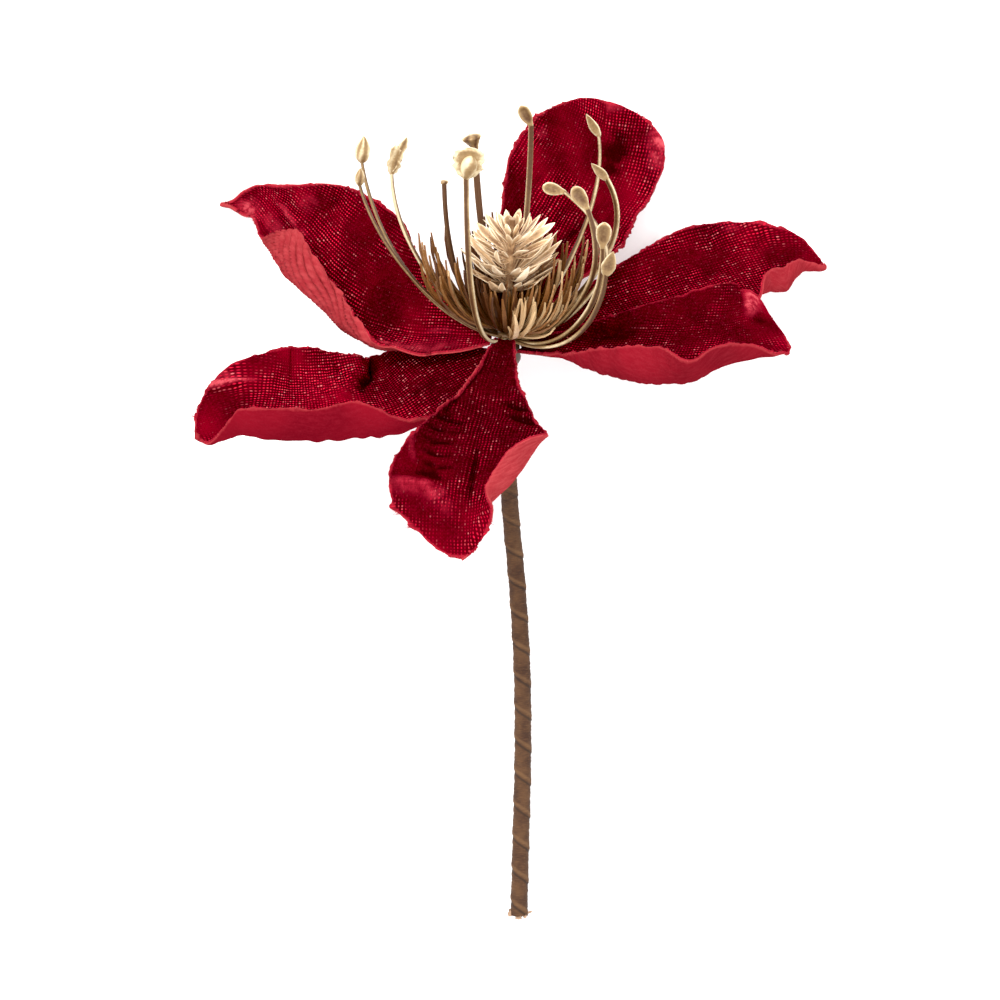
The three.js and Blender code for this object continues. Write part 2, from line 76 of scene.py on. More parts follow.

# The petals, bent as the CAD model's are. The spine is (out, aside, up). Each wing beside it has half
# widths, angles at the spine and at the rim, and a flare that bends its outer part further in, or
# back where it is negative, at even steps from the root to the tip.
# Per petal, a list at even steps from the root to the tip lays painted light and shade along it,
# painted shade below 0 and painted light above it. Bright says how far the ground's threads and their
# pale painted glints show, a second value how far the lining is painted as lit coral rather than as
# shaded crimson, and tufts where a rim frays: side, share of the rim and length. Folds are the
# (along, aside) places that they run through on the flat cloth, height, half width, and how far the
# cloth along them is painted light (above 0, mostly on crests) or painted shade (below 0, mostly in
# creases). Gathers are bands of even small wrinkles: aside, half width, from and to along, wrinkle
# length, height and slant; their crests are painted light and their troughs painted shade.
PETALS = [
    {
        "name": "petal_left_upper",
        "light_and_shade": [0.1, 0.0, -0.15, 0.0, 0.15, 0.2],
        "brushed_and_lit": 0.9,
        "bright": 1.2,
        "tufts": [("left", 0.985, 2.2)],
        "azimuth": 152,
        "spine": [
            [4.5, 1, -0.5], [16, 5, -1], [28, 8, -2], [40, 9, -1], [53, 8, 3], [66, 3, 7], [79, -4, 11],
            [89, -9, 14], [99, -9, 14],
        ],
        "right": {
            "width": [3, 9, 15, 19.8, 24.2, 27.8, 30.2, 31.2, 31, 29.3, 25.7, 20.7, 16.8, 7.5, 2],
            "root": [30, 40, 45, 50, 50, 60, 60],
            "rim": [45, 55, 60, 65, 80, 110, 140],
        },
        "left": {
            "width": [
                3, 6.5, 9.5, 12, 13.6, 15, 16.3, 17.6, 18.5, 19.5, 20.5, 21.7, 22.6, 21, 14, 6.5, 3.5,
                2.5, 2, 3, 4,
            ],
            "root": [-10, -15, -10, 0, 15, 22, 12, 10],
            "rim": [
                20, 22, 26, 32, 42, 58, 78, 104, 130, 150, 165, 175, 182, 172, 115, 45, 10,
                0, 15, 90, 150,
            ],
        },
        "folds": [
            ([(77, 13), (72, 21)], 0.9, 2.4, 0.6),
            ([(64, 10), (73, 8), (80, 9.5), (86, 11)], 0.9, 1.4, 1.0),
            ([(70, 2), (80, 3), (88, 4)], 0.0, 3.6, 0.8),
            ([(69, 17), (67, 25)], -0.8, 1.8, -0.5),
            ([(86, -8), (92, 0), (98, 2)], 0.2, 3.5, 1.2),
            ([(84, 6), (70, 8), (58, 9)], -0.7, 2.4, -0.5),
            ([(64, 20), (50, 22)], 0.5, 3.0, 0.2),
            ([(30, 1), (24, 4), (18, 3)], -0.4, 1.0, -0.3),
            ([(10, 2), (20, 1)], 0.4, 1.2, 0.5),
            ([(6, -3), (20, -7), (38, -11)], 0.2, 4.0, 0.8),
            ([(62, 3), (74, 0)], -0.5, 3.5, -0.6),
        ],
        "gathers": [(-14, 8, (22, 88), 4.2, 0.9, 1.64)],
    },
    {
        "name": "petal_left_lower",
        "light_and_shade": [-0.9, -0.8, 0.0, 0.3, 0.1, -0.1],
        "brushed_and_lit": 0.0,
        "bright": 1.2,
        "tufts": [("right", 0.93, 3.0), ("right", 0.9, 2.0)],
        "azimuth": 198,
        "spine": [
            [4.5, 1, -4], [20, 4, -6], [34, 6, -11], [49, 5, -13], [64, 2, -13], [77, -3, -14],
            [89, -4, -19],
        ],
        "right": {
            "width": [3, 10, 16.5, 21.5, 24.5, 23.5, 25, 27, 27.7, 27, 25, 19.5, 15],
            "root": [10, 0, -5, 0, 0, 5, 10],
            "rim": [20, 10, 15, 40, 50, 50, 20],
        },
        "left": {
            "width": [3, 7.5, 12, 16.8, 21, 25.5, 28, 27.6, 26.8, 27.6, 26.5, 17.5, 12],
            "root": [0, -15, -20, -20, -15, -5, 0],
            "rim": [20, 10, 60, 135, 125, 90, 30],
            "flare": [0, 0, 0, 0, 0, 5, -12, 0, 10, 10, 20],
        },
        "folds": [
            ([(29.5, 25), (32.5, 20), (34, 16), (38, 13), (39, 10)], -2.2, 1.1, -1.5),
            ([(36, 25), (38, 20), (42, 14)], 0.7, 1.6, 0.1),
            ([(47, 25), (44, 18)], -0.6, 0.9, -0.5),
            ([(52, 14), (46, 8)], -0.5, 0.9, -0.4),
            ([(58, 10), (50, 4)], -0.4, 0.9, -0.3),
            ([(28, 24), (32, 19), (36, 14), (42, 9)], 0.0, 2.8, -0.9),
            ([(85, 20), (80, 17.5), (74, 16)], 1.0, 3.2, 0.8),
            ([(85, 16.5), (78, 15.5), (71, 15)], 0.3, 0.5, 1.4),
            ([(84, 14), (77, 13), (73, 12)], -0.8, 1.0, -0.5),
            ([(8, 0), (20, 0), (32, 0.5)], -0.6, 3.0, -0.5),
        ],
        "gathers": [(14, 6, (34, 62), 3.4, 0.2, -0.7), (-12, 5, (30, 60), 5.0, 0.3, 0.1)],
    },
    {
        "name": "petal_front",
        "light_and_shade": [-0.9, -0.6, -0.7, -0.6, 0.0, 0.35],
        "brushed_and_lit": 0.9,
        "bright": 0.75,
        "tufts": [("right", 0.78, 4.0), ("right", 0.84, 3.2), ("left", 0.86, 1.8), ("right", 0.97, 2.2)],
        "azimuth": 259,
        "spine": [
            [3.2, 0, 1.2], [19, -1, -4], [35, 0, -6], [49, 0, -9], [58, 0, -12], [68, 1, -18],
            [75, 2, -25],
        ],
        "right": {
            "width": [3, 4, 5, 6.7, 9, 12.5, 16, 19, 21.4, 21.8, 20.8, 16, 12],
            "root": [10, 10, 10, 5, 0, 0, 0],
            "rim": [20, 30, 25, 10, 0, 0, 0],
        },
        "left": {
            "width": [3, 4.7, 6.5, 8.4, 10.2, 12.5, 14.8, 19, 22.6, 27, 26.5, 23, 14, 9, 8],
            "root": [10, 10, 10, 10, 10, 10, 15, 0],
            "rim": [20, 20, 20, 15, 10, 12, 16, 20, 25, 38, 55, 88, 125, 100, 60],
            "flare": [0, 0, 0, 0, 0, 0, 25, 75, 50, -90, -60],
        },
        "folds": [
            ([(42, -0.5), (50, -1), (57, -1.5), (64, -1.5)], -1.1, 1.1, -1.2),
            ([(22, 0.5), (42, 0)], -0.3, 1.0, -0.3),
            ([(59, 23), (58.5, 15), (59, 11), (60.5, 8.5), (63.5, 5.5), (67, 3.5)], 1.9, 2.8, 0.8),
            ([(54.5, 18), (55, 11), (57, 5)], -1.2, 2.0, -1.0),
            ([(8, 2.5), (20, 6), (33, 10.5)], -0.9, 1.0, -1.1),
            ([(10, 5), (22, 9.5), (33, 13.5)], 0.7, 1.6, 0.2),
            ([(40, 19), (45, 17.5), (50, 16), (55, 14)], 0.7, 1.0, 0.5),
            ([(25, -5), (29, -10), (31, -15)], -1.4, 1.3, -1.5),
            ([(31, -6), (34, -12), (36, -17)], -1.3, 1.3, -1.4),
            ([(29, 11), (36, 9)], -0.8, 2.2, -0.7),
            ([(34, 17), (35, 11), (35.5, 6), (34, 3)], -0.9, 1.1, -0.9),
            ([(38, 17), (39.5, 11), (39.5, 6), (38, 3)], -0.9, 1.1, -0.9),
            ([(42, 16), (44, 11), (43.5, 6), (42, 3)], -0.9, 1.1, -0.9),
            ([(46, 15), (48.5, 10), (48, 5)], -0.9, 1.1, -0.9),
            ([(50, 14), (52.5, 9), (52, 4)], -0.9, 1.1, -0.9),
        ],
        "gathers": [],
    },
    {
        "name": "petal_back",
        "light_and_shade": [-0.6, -0.4, 0.0, 0.1, 0.3],
        "brushed_and_lit": 0.5,
        "bright": 1.05,
        "tufts": [("right", 0.9, 3.4)],
        "azimuth": 70,
        "spine": [[4.5, 1, -5], [28, 1, 9], [54, -3, 21.5], [65, -4.2, 30], [75, -3.5, 39.6]],
        "right": {
            "width": [3, 7.5, 12.5, 18, 20.8, 20, 21, 24, 21],
            "root": [0, 0, 0, 0, -2, -6, -14, -6, 0],
            "rim": [70, 45, 20, 8, 2, -2, -8, -3, 0],
        },
        "left": {
            "width": [3, 6.4, 10.4, 15, 19.8, 23.6, 25, 25.5, 22],
            "root": [30, 30, 35, 45, 50],
            "rim": [50, 50, 45, 50, 50],
        },
        "folds": [
            ([(62, 5), (70, 5.5), (78, 5)], -2.2, 4.2, -1.0),
            ([(66, 18), (73, 18), (79, 14)], 0.9, 3.6, 0.8),
            ([(22, 1), (38, 4), (54, 8)], -1.0, 2.0, -0.8),
            ([(24, -3), (38, -2), (48, -1)], -0.8, 1.4, -0.7),
            ([(30, -8), (44, -8)], 0.6, 1.8, 0.35),
            ([(83, -2), (84, 7)], 0.9, 2.6, 0.7),
            ([(73, 21), (79, 17)], 1.1, 3.2, 0.6),
            ([(64, -20), (69, -18)], 0.5, 2.4, 0.5),
            ([(36, -12), (56, -12)], -0.7, 1.4, -0.5),
            ([(40, -6), (57, -7)], -0.5, 1.2, -0.5),
            ([(36, 10), (56, 13)], -0.5, 1.5, -0.4),
        ],
        "gathers": [],
    },
    {
        "name": "petal_right_upper",
        "light_and_shade": [-0.9, -0.6, -0.3, -0.1, 0.0, 0.1],
        "brushed_and_lit": 0.4,
        "bright": 1.05,
        "tufts": [("right", 0.97, 2.6), ("left", 0.8, 2.4), ("right", 0.86, 2.0)],
        "azimuth": 20,
        "spine": [
            [4.5, -1, -3.5], [21, 2, -1], [38, 3, 0], [53, 3, 2], [69, 3, 4], [84, 2, 7], [96, -2, 6],
        ],
        "right": {
            "width": [3, 6.7, 10.5, 14.5, 17.3, 19.7, 21.6, 23.2, 24, 23.5, 20, 17.5, 22.5, 11, 3.5],
            "root": [0, -5, -9, -10, -10, -9, -7, -5, -4, -5, -8, -20, -40, -15, 0],
            "rim": [0, -4, -9, -11, -10, -8, -4, 0, 5, 12, 25, 60, 110, 110, 80],
            "flare": [0, 0, 0, 0, 0, 0, 0, 10, 62, 60, 30],
        },
        "left": {
            "width": [3, 8, 15.2, 20, 23.4, 20.8, 12],
            "root": [20, 10, 5, 10, 10, 10, 10],
            "rim": [70, 40, 40, 40, 40, 30, 20],
        },
        "folds": [
            ([(80, -15), (75, -8)], -0.8, 1.5, -0.5),
            ([(76, -18), (70, -19)], 0.6, 2.0, 0.5),
            ([(66, -6), (52, -3)], -0.6, 2.0, -0.5),
            ([(30, -9), (22, -5)], -1.0, 3.0, -1.0),
            ([(88, -10), (84, -13)], 0.5, 1.4, 0.2),
        ],
        "gathers": [],
    },
    {
        "name": "petal_right_lower",
        "light_and_shade": [-0.9, -0.7, -0.5, -0.2, 0.2],
        "brushed_and_lit": 0.1,
        "bright": 0.85,
        "tufts": [("left", 0.9, 1.8)],
        "azimuth": 341,
        "spine": [[4.5, 0, -2], [22, -2, 0.5], [40, -4, 4], [56, -5, 8], [69, -4, 11], [80.5, 2.3, 12]],
        "right": {
            "width": [3, 5.4, 9, 15, 21, 25.5, 29, 29.5, 23, 14.5, 12],
            "root": [0, 0, -4, -14, -25, -29, -30, -25, 2, 5, 0],
            "rim": [20, 45, 70, 102, 130, 140, 140, 125, 95, 50, 15],
            "flare": [0, 0, 0, 0, 0, 0, 0, 0, 0, 0, 0, 8, 5, 0, -20, -36, -8, 12, 8, -10, -20],
        },
        "left": {
            "width": [3, 7, 11.5, 15.3, 19, 22, 25, 27, 28.5, 33.5, 58],
            "root": [10, 10, 10, 10, 10, 0],
            "rim": [20, 40, 40, 40, 30, 0],
        },
        "folds": [
            ([(77, -27), (74, -20), (70, -13)], 1.6, 2.8, 1.35),
            ([(77, -16), (73, -12)], -1.1, 2.0, -0.7),
            ([(16, -6), (24, -9), (34, -9)], -1.2, 4.6, -0.8),
            ([(41, -20), (39, -4)], 0.6, 2.0, 0.1),
            ([(60, -2), (66, -3)], 0.6, 2.0, 0.3),
        ],
        "gathers": [(11, 5, (16, 62), 2.9, 0.22, 0.1)],
    },
]

# The long stamens: azimuth, reach and height of the tip, drift towards the axis, roundness of the
# bowl they follow, half width, how brown the plastic is, then the paddles that make up the anther:
# kind, half width, length and how far it leans to the left
STAMENS = [
    ((170, 41, 60), 0, 1.86, 0.72, 0.35, [("bud", 2.0, 8.4, -14)]),
    ((179, 41, 53), 0, 1.56, 0.7, 0.6, [("bud", 1.3, 5.6, -18)]),
    ((159, 37.2, 57), 5, 1.8, 0.78, 0.1, [("ragged", 1.8, 9.5, -12), ("ragged", 1.3, 12.5, -24)]),
    ((156, 19, 47), 0, 2.2, 0.9, 1.1, [("cap", 1.0, 1.1, 0)]),
    ((226, 16, 65.5), 0, 3, 0.86, 0.15, [("skirt", 4.0, 9.8, -8), ("bead", 2.2, 7.6, -14)]),
    ((112, 24, 53), 0, 1.7, 0.95, 1.0, [("club", 2.7, 5.2, 14)]),
    ((76, 29, 60), 2, 1.7, 0.8, 0.45, [("spoon", 1.8, 7.4, 26)]),
    ((43.5, 39.5, 58.5), 7, 1.75, 0.82, 0.2, [("leaf", 1.35, 8.5, 22)]),
    ((11, 35.5, 53), 12, 1.8, 0.86, 0.4, [("leaf", 1.35, 7.5, 16)]),
    ((350, 33, 51), 22.5, 1.9, 0.8, 0.4, [("spoon", 1.7, 7, 26)]),
    ((332, 31, 53), 10, 1.9, 0.82, 0.4, [("spoon", 2.0, 8.2, 14)]),
    ((317, 37, 49), 3, 2, 0.86, 0.35, [("spoon", 2.1, 8.6, -2)]),
    ((312, 40.5, 44.5), 1, 2, 0.8, 0.4, [("leaf", 2.0, 8.4, -8)]),
]
STAMEN_START = 1.0
DRIFT_FROM = 0.6
TO_VIEWER = (0.0, math.sin(TILT_BACK), math.cos(TILT_BACK))

# The moulded paddles: half widths at even steps from the root to the tip, thickness, depth of the
# hollow, number of ribs around, and how ragged the rim is. All but the ribs are shares of the half
# width that a paddle is made with.
PADDLES = {
    "bud": ([0.3, 0.85, 1, 0.95, 0.65, 0.25], 0.85, 0, 5, 0.03),
    "ragged": ([0.4, 0.8, 1, 0.7, 0.85, 0.4], 0.45, 0.4, 3, 0.3),
    "cap": ([0.8, 0.9, 1, 1, 0.95], 0.9, 0, 3, 0.12),
    "skirt": ([0.25, 0.7, 0.95, 1, 1, 0.85], 0.3, 0.6, 0, 0.22),
    "bead": ([0.35, 0.6, 0.9, 1, 0.9, 0.6], 0.95, 0, 2, 0.02),
    "club": ([0.35, 0.4, 0.5, 0.7, 0.95, 1], 0.75, 0, 4, 0.08),
    "spoon": ([0.4, 0.5, 0.85, 1, 0.95, 0.6], 0.5, 0.8, 0, 0.02),
    "leaf": ([0.55, 0.8, 1, 0.85, 0.55, 0.15], 0.4, 0.6, 0, 0.02),
    "scale": ([0.36, 0.4, 0.6, 0.88, 1, 0.8, 0.25], 0.28, 0.8, 0, 0.04),
    "scrap": ([1, 0.9, 1, 0.7, 0.8, 0.3], 0.1, 0, 2, 0.3),
}

# The needles: rings of flat blades on a small cup. Each has a number of needles, the azimuths it
# covers, reach, height, start up the axis, roundness of its bowl, half widths and how brown it is:
# the plastic's own brown, deepened as painted shade in the rings under the cone.
NEEDLE_RINGS = [
    (44, (0, 360), (5.5, 9), (16.5, 20.5), 4.5, 1.7, (0.35, 0.6), (0.6, 1.0)),
    (84, (0, 360), (7.5, 12.5), (18.5, 23.2), 3.2, 1.6, (0.3, 0.65), (0.4, 1.15)),
    (46, (-48, 135), (14, 23), (20, 30), 4, 2.0, (0.35, 0.65), (0.2, 1.0)),
    (32, (138, 202), (13, 27), (20, 31), 4, 1.9, (0.35, 0.6), (-0.2, 0.6)),
    (26, (276, 352), (8, 19), (9, 20), 2.6, 1.7, (0.4, 0.75), (-0.2, 0.3)),
]
NEEDLE_STEPS = 8
NEEDLE_THICKNESS = 0.24

# The tiers of the cone: scales in a tier, how far out and up their tips are, width, slope and how
# shaded they are
TIERS = [
    (24, 13.8, 24.6, 2.4, 31, 0.35),
    (25, 14.4, 29.4, 2.4, 34, 0.0),
    (22, 13.0, 33.9, 2.4, 33, 0.0),
    (13, 8.2, 37.0, 2.5, 43, 0.0),
    (6, 3.6, 38.2, 2.4, 62, 0.1),
]
CONE_BOTTOM = 6.8
CONE_RISE = 31.2
SCALE_ROOT = 1.0
CONE_LEAN = 0.045
# The pin shows at the front, where no scale grows within this many degrees
BARE_FRONT = 6

# The stem's centre line on the table, from the cut end to the straight wire below the flower
STEM = [
    [1.8, -119.3, 2.2], [2.3, -98.8, 2.8], [2.9, -73.8, 3.8], [2.7, -48.8, 5.6], [1.3, -23.8, 9],
    [-0.7, -1.8, 15.5], [-1.7, 17.2, 24.2],
]
TAPE_SIDES = 32
TAPE_RINGS = 520
TAPE_PITCH = 9.5
# The tape ends this far before the top of the wire
TAPE_SHORT = 6

# Frayed scraps of tape at the cut end: place, heading, lift, half width and length
SCRAPS = [
    ((0.3, -117.6, 2.4), 232, 0.1, 0.9, 2.6),
    ((3.3, -119.0, 2.2), 22, 0.3, 0.5, 2.9),
    ((1.7, -118.6, 3.4), 268, 0.1, 1.1, 1.9),
    ((2.9, -118.4, 3.0), 300, 0.3, 0.7, 2.0),
]


# Curves
def through(values, shares):
    """The smooth curve through evenly spaced values, at shares of it from 0 to 1."""
    values = np.asarray(values, float)
    spans = len(values) - 1
    padded = np.concatenate([[2 * values[0] - values[1]], values, [2 * values[-1] - values[-2]]])
    x = np.clip(np.asarray(shares, float), 0, 1) * spans
    i = np.minimum(x.astype(int), spans - 1)
    f = x - i
    if values.ndim > 1:
        f = f[:, None]
    before, here, there, after = (padded[i + k] for k in range(4))
    leave = (there - before) / 2
    arrive = (after - here) / 2
    rise = there - here
    return here + f * leave + f**2 * (3 * rise - 2 * leave - arrive) + f**3 * (leave + arrive - 2 * rise)


def run_along(places):
    """How far along a row of places each of them lies."""
    return np.concatenate([[0], np.cumsum(np.linalg.norm(np.diff(places, axis=0), axis=1))])


def at_runs(at, run, values):
    """Vectors given along a row of places, at these runs of it."""
    return np.stack([np.interp(at, run, values[:, k]) for k in range(3)], 1)


def along_curve(points, shares):
    """Places on the smooth curve through points, at shares of its length, and its length."""
    fine = through(points, np.linspace(0, 1, 1200))
    run = run_along(fine)
    return at_runs(np.asarray(shares) * run[-1], run, fine), run[-1]


def unit(vectors):
    return vectors / np.maximum(np.linalg.norm(vectors, axis=-1, keepdims=True), 1e-12)


def bowl(azimuth, reach, height, start, roundness, drift=0.0, steps=60):
    """The bowl-shaped way from the axis out and up to a tip, with the direction that is aside of it."""
    t = np.linspace(0, 1, steps)
    angle = t * math.pi / 2
    power = 2 / roundness
    drifted = np.maximum(0, (t - DRIFT_FROM) / (1 - DRIFT_FROM))
    out = 1 + (reach - 1) * np.sin(angle) ** power - drift * drifted**2
    up = start + (height - start) * (1 - np.cos(angle) ** power)
    turn = math.radians(azimuth)
    path = np.stack([out * math.cos(turn), out * math.sin(turn), up], 1)
    return path, np.array([-math.sin(turn), math.cos(turn), 0.0])


# Pieces
def only(piece):
    """Selects this piece alone."""
    for other in bpy.context.selected_objects:
        other.select_set(False)
    piece.select_set(True)
    bpy.context.view_layer.objects.active = piece


def fresh(name):
    """Names the primitive that was just added."""
    piece = bpy.context.active_object
    piece.name = name
    piece.data.name = name
    only(piece)
    return piece


def corners(piece):
    places = np.empty(len(piece.data.vertices) * 3)
    piece.data.vertices.foreach_get("co", places)
    return places.reshape(-1, 3)


def place_corners(piece, places):
    piece.data.vertices.foreach_set("co", np.ascontiguousarray(places, float).ravel())
    piece.data.update()


@contextmanager
def editing(piece):
    """Edit mode with all of this piece selected."""
    only(piece)
    bpy.ops.object.mode_set(mode="EDIT")
    bpy.ops.mesh.select_all(action="SELECT")
    yield
    bpy.ops.object.mode_set(mode="OBJECT")


def cloth_piece(name, columns, rows):
    """A flat grid, with the column and the row of each of its corners."""
    bpy.ops.mesh.primitive_grid_add(x_subdivisions=columns, y_subdivisions=rows, size=1)
    piece = fresh(name)
    grid = corners(piece)
    column = np.rint((grid[:, 0] + 0.5) * columns).astype(int)
    row = np.rint((grid[:, 1] + 0.5) * rows).astype(int)
    return piece, column, row


def map_cloth(piece, across, along):
    """Writes each corner's place on the flat cloth to the piece's UV map."""
    loops = np.empty(len(piece.data.loops), int)
    piece.data.loops.foreach_get("vertex_index", loops)
    flat = np.stack([across, along], 1)
    piece.data.uv_layers[0].data.foreach_set("uv", flat[loops].ravel())


def finish_modifier(piece, kind, **settings):
    only(piece)
    modifier = piece.modifiers.new(kind.lower(), kind)
    for key, value in settings.items():
        setattr(modifier, key, value)
    bpy.ops.object.modifier_apply(modifier=modifier.name)


def settle(piece, placing):
    """Takes a piece from its own frame in millimetres to the CAD model's in metres, above the table."""
    placed = np.array(placing)
    places = corners(piece) @ placed[:3, :3].T + placed[:3, 3]
    places[:, 2] = np.maximum(places[:, 2], 0)
    place_corners(piece, places * MM)


def hand_over(piece, look, node=None):
    """Gives a finished piece its material, hangs it under the root body and hides the CAD part it
    replaces, if any.
    """
    piece.data.materials.clear()
    piece.data.materials.append(look)
    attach(piece, "root")
    if node:
        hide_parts(node)


def copy_of(piece, name):
    twin = piece.copy()
    twin.data = piece.data.copy()
    twin.name = name
    twin.data.name = name
    bpy.context.collection.objects.link(twin)
    return twin


def joined(pieces, name):
    only(pieces[0])
    for piece in pieces:
        piece.select_set(True)
    bpy.ops.object.join()
    return fresh(name)


def drop(piece):
    bpy.data.objects.remove(piece, do_unlink=True)


def smooth(piece, degrees=40):
    only(piece)
    bpy.ops.object.shade_smooth_by_angle(angle=math.radians(degrees))


def recalculated(piece):
    with editing(piece):
        bpy.ops.mesh.normals_make_consistent(inside=False)


def add_values(piece, name, values):
    """Keeps a value for each corner of a piece, or the same for all of them."""
    layer = piece.data.attributes.get(name) or piece.data.attributes.new(name, "FLOAT", "POINT")
    each = np.broadcast_to(np.asarray(values, np.float32), len(piece.data.vertices))
    layer.data.foreach_set("value", np.ascontiguousarray(each))


def recalled(piece, name):
    """The values that a piece keeps at its corners."""
    values = np.empty(len(piece.data.vertices), np.float32)
    piece.data.attributes[name].data.foreach_get("value", values)
    return values


# Shader maths: a socket that can be added, multiplied and compared
class Link:
    def __init__(self, look, socket):
        self.look = look
        self.socket = socket

    def maths(self, operation, *values):
        return self.look.node("ShaderNodeMath", {"operation": operation}, *values)

    def __add__(self, other):
        return self.maths("ADD", self, other)

    def __radd__(self, other):
        return self.maths("ADD", other, self)

    def __sub__(self, other):
        return self.maths("SUBTRACT", self, other)

    def __rsub__(self, other):
        return self.maths("SUBTRACT", other, self)

    def __mul__(self, other):
        return self.maths("MULTIPLY", self, other)

    def __rmul__(self, other):
        return self.maths("MULTIPLY", other, self)

    def __truediv__(self, other):
        return self.maths("DIVIDE", self, other)

    def __pow__(self, other):
        return self.maths("POWER", self, other)

    def fraction(self):
        return self.maths("FRACT", self)

    def floor(self):
        return self.maths("FLOOR", self)

    def size(self):
        return self.maths("ABSOLUTE", self)

    def between(self, low, high):
        """0 below low, 1 above high, smooth between; the other way round where low is above high."""
        settings = {"interpolation_type": "SMOOTHSTEP", "clamp": True}
        if low <= high:
            return self.look.node("ShaderNodeMapRange", settings, self, low, high, 0.0, 1.0)
        return self.look.node("ShaderNodeMapRange", settings, self, high, low, 1.0, 0.0)


class Look:
    """A procedural material."""

    def __init__(self, name, **shine):
        self.material = bpy.data.materials.new(name)
        self.material.use_nodes = True
        self.tree = self.material.node_tree
        self.shader = next(n for n in self.tree.nodes if n.type == "BSDF_PRINCIPLED")
        for key, value in shine.items():
            self.shader.inputs[key.replace("_", " ")].default_value = value

    def node(self, kind, settings, *values, output=0):
        """A node with its settings, then the values or links of its sockets in their order."""
        made = self.tree.nodes.new(kind)
        for key, value in settings.items():
            setattr(made, key, value)
        open_sockets = [s for s in made.inputs if s.enabled and not s.hide]
        for socket, value in zip(open_sockets, values):
            if value is None:
                continue
            if isinstance(value, Link):
                self.tree.links.new(value.socket, socket)
            else:
                socket.default_value = value
        outputs = [s for s in made.outputs if s.enabled]
        return Link(self, outputs[output])

    def mixed(self, share, first, second):
        return self.node("ShaderNodeMix", {"data_type": "RGBA"}, share, colour(first), colour(second))

    def object_place(self):
        return self.node("ShaderNodeTexCoord", {}, output=3)

    def cloth_place(self):
        return self.node("ShaderNodeUVMap", {"uv_map": "UVMap"})

    def value_of(self, name):
        return self.node("ShaderNodeAttribute", {"attribute_name": name}, output=2)

    def noise(self, place, scale, detail=3.0, roughness=0.5):
        return self.node("ShaderNodeTexNoise", {}, place, scale, detail, roughness)

    def scaled(self, place, factors):
        return self.node("ShaderNodeVectorMath", {"operation": "MULTIPLY"}, place, factors)

    def set(self, name, link):
        self.tree.links.new(link.socket, self.shader.inputs[name])

    def bump(self, height, distance, strength=1.0):
        normal = self.node("ShaderNodeBump", {}, strength, distance, None, height)
        self.set("Normal", normal)


def colour(value):
    """A hexadecimal screen colour as the shader's own, or a link as it is."""
    if isinstance(value, Link):
        return value
    parts = [int(value[k : k + 2], 16) / 255 for k in (0, 2, 4)]
    linear = [p / 12.92 if p <= 0.04045 else ((p + 0.055) / 1.055) ** 2.4 for p in parts]
    return (*linear, 1.0)


# Materials
def cloth_grid(look):
    """The place on the flat cloth in millimetres, as two numbers."""
    parts = look.node("ShaderNodeSeparateXYZ", {}, look.cloth_place())
    across = parts * CLOTH_MAP
    along = Link(look, parts.socket.node.outputs[1]) * CLOTH_MAP
    return across, along


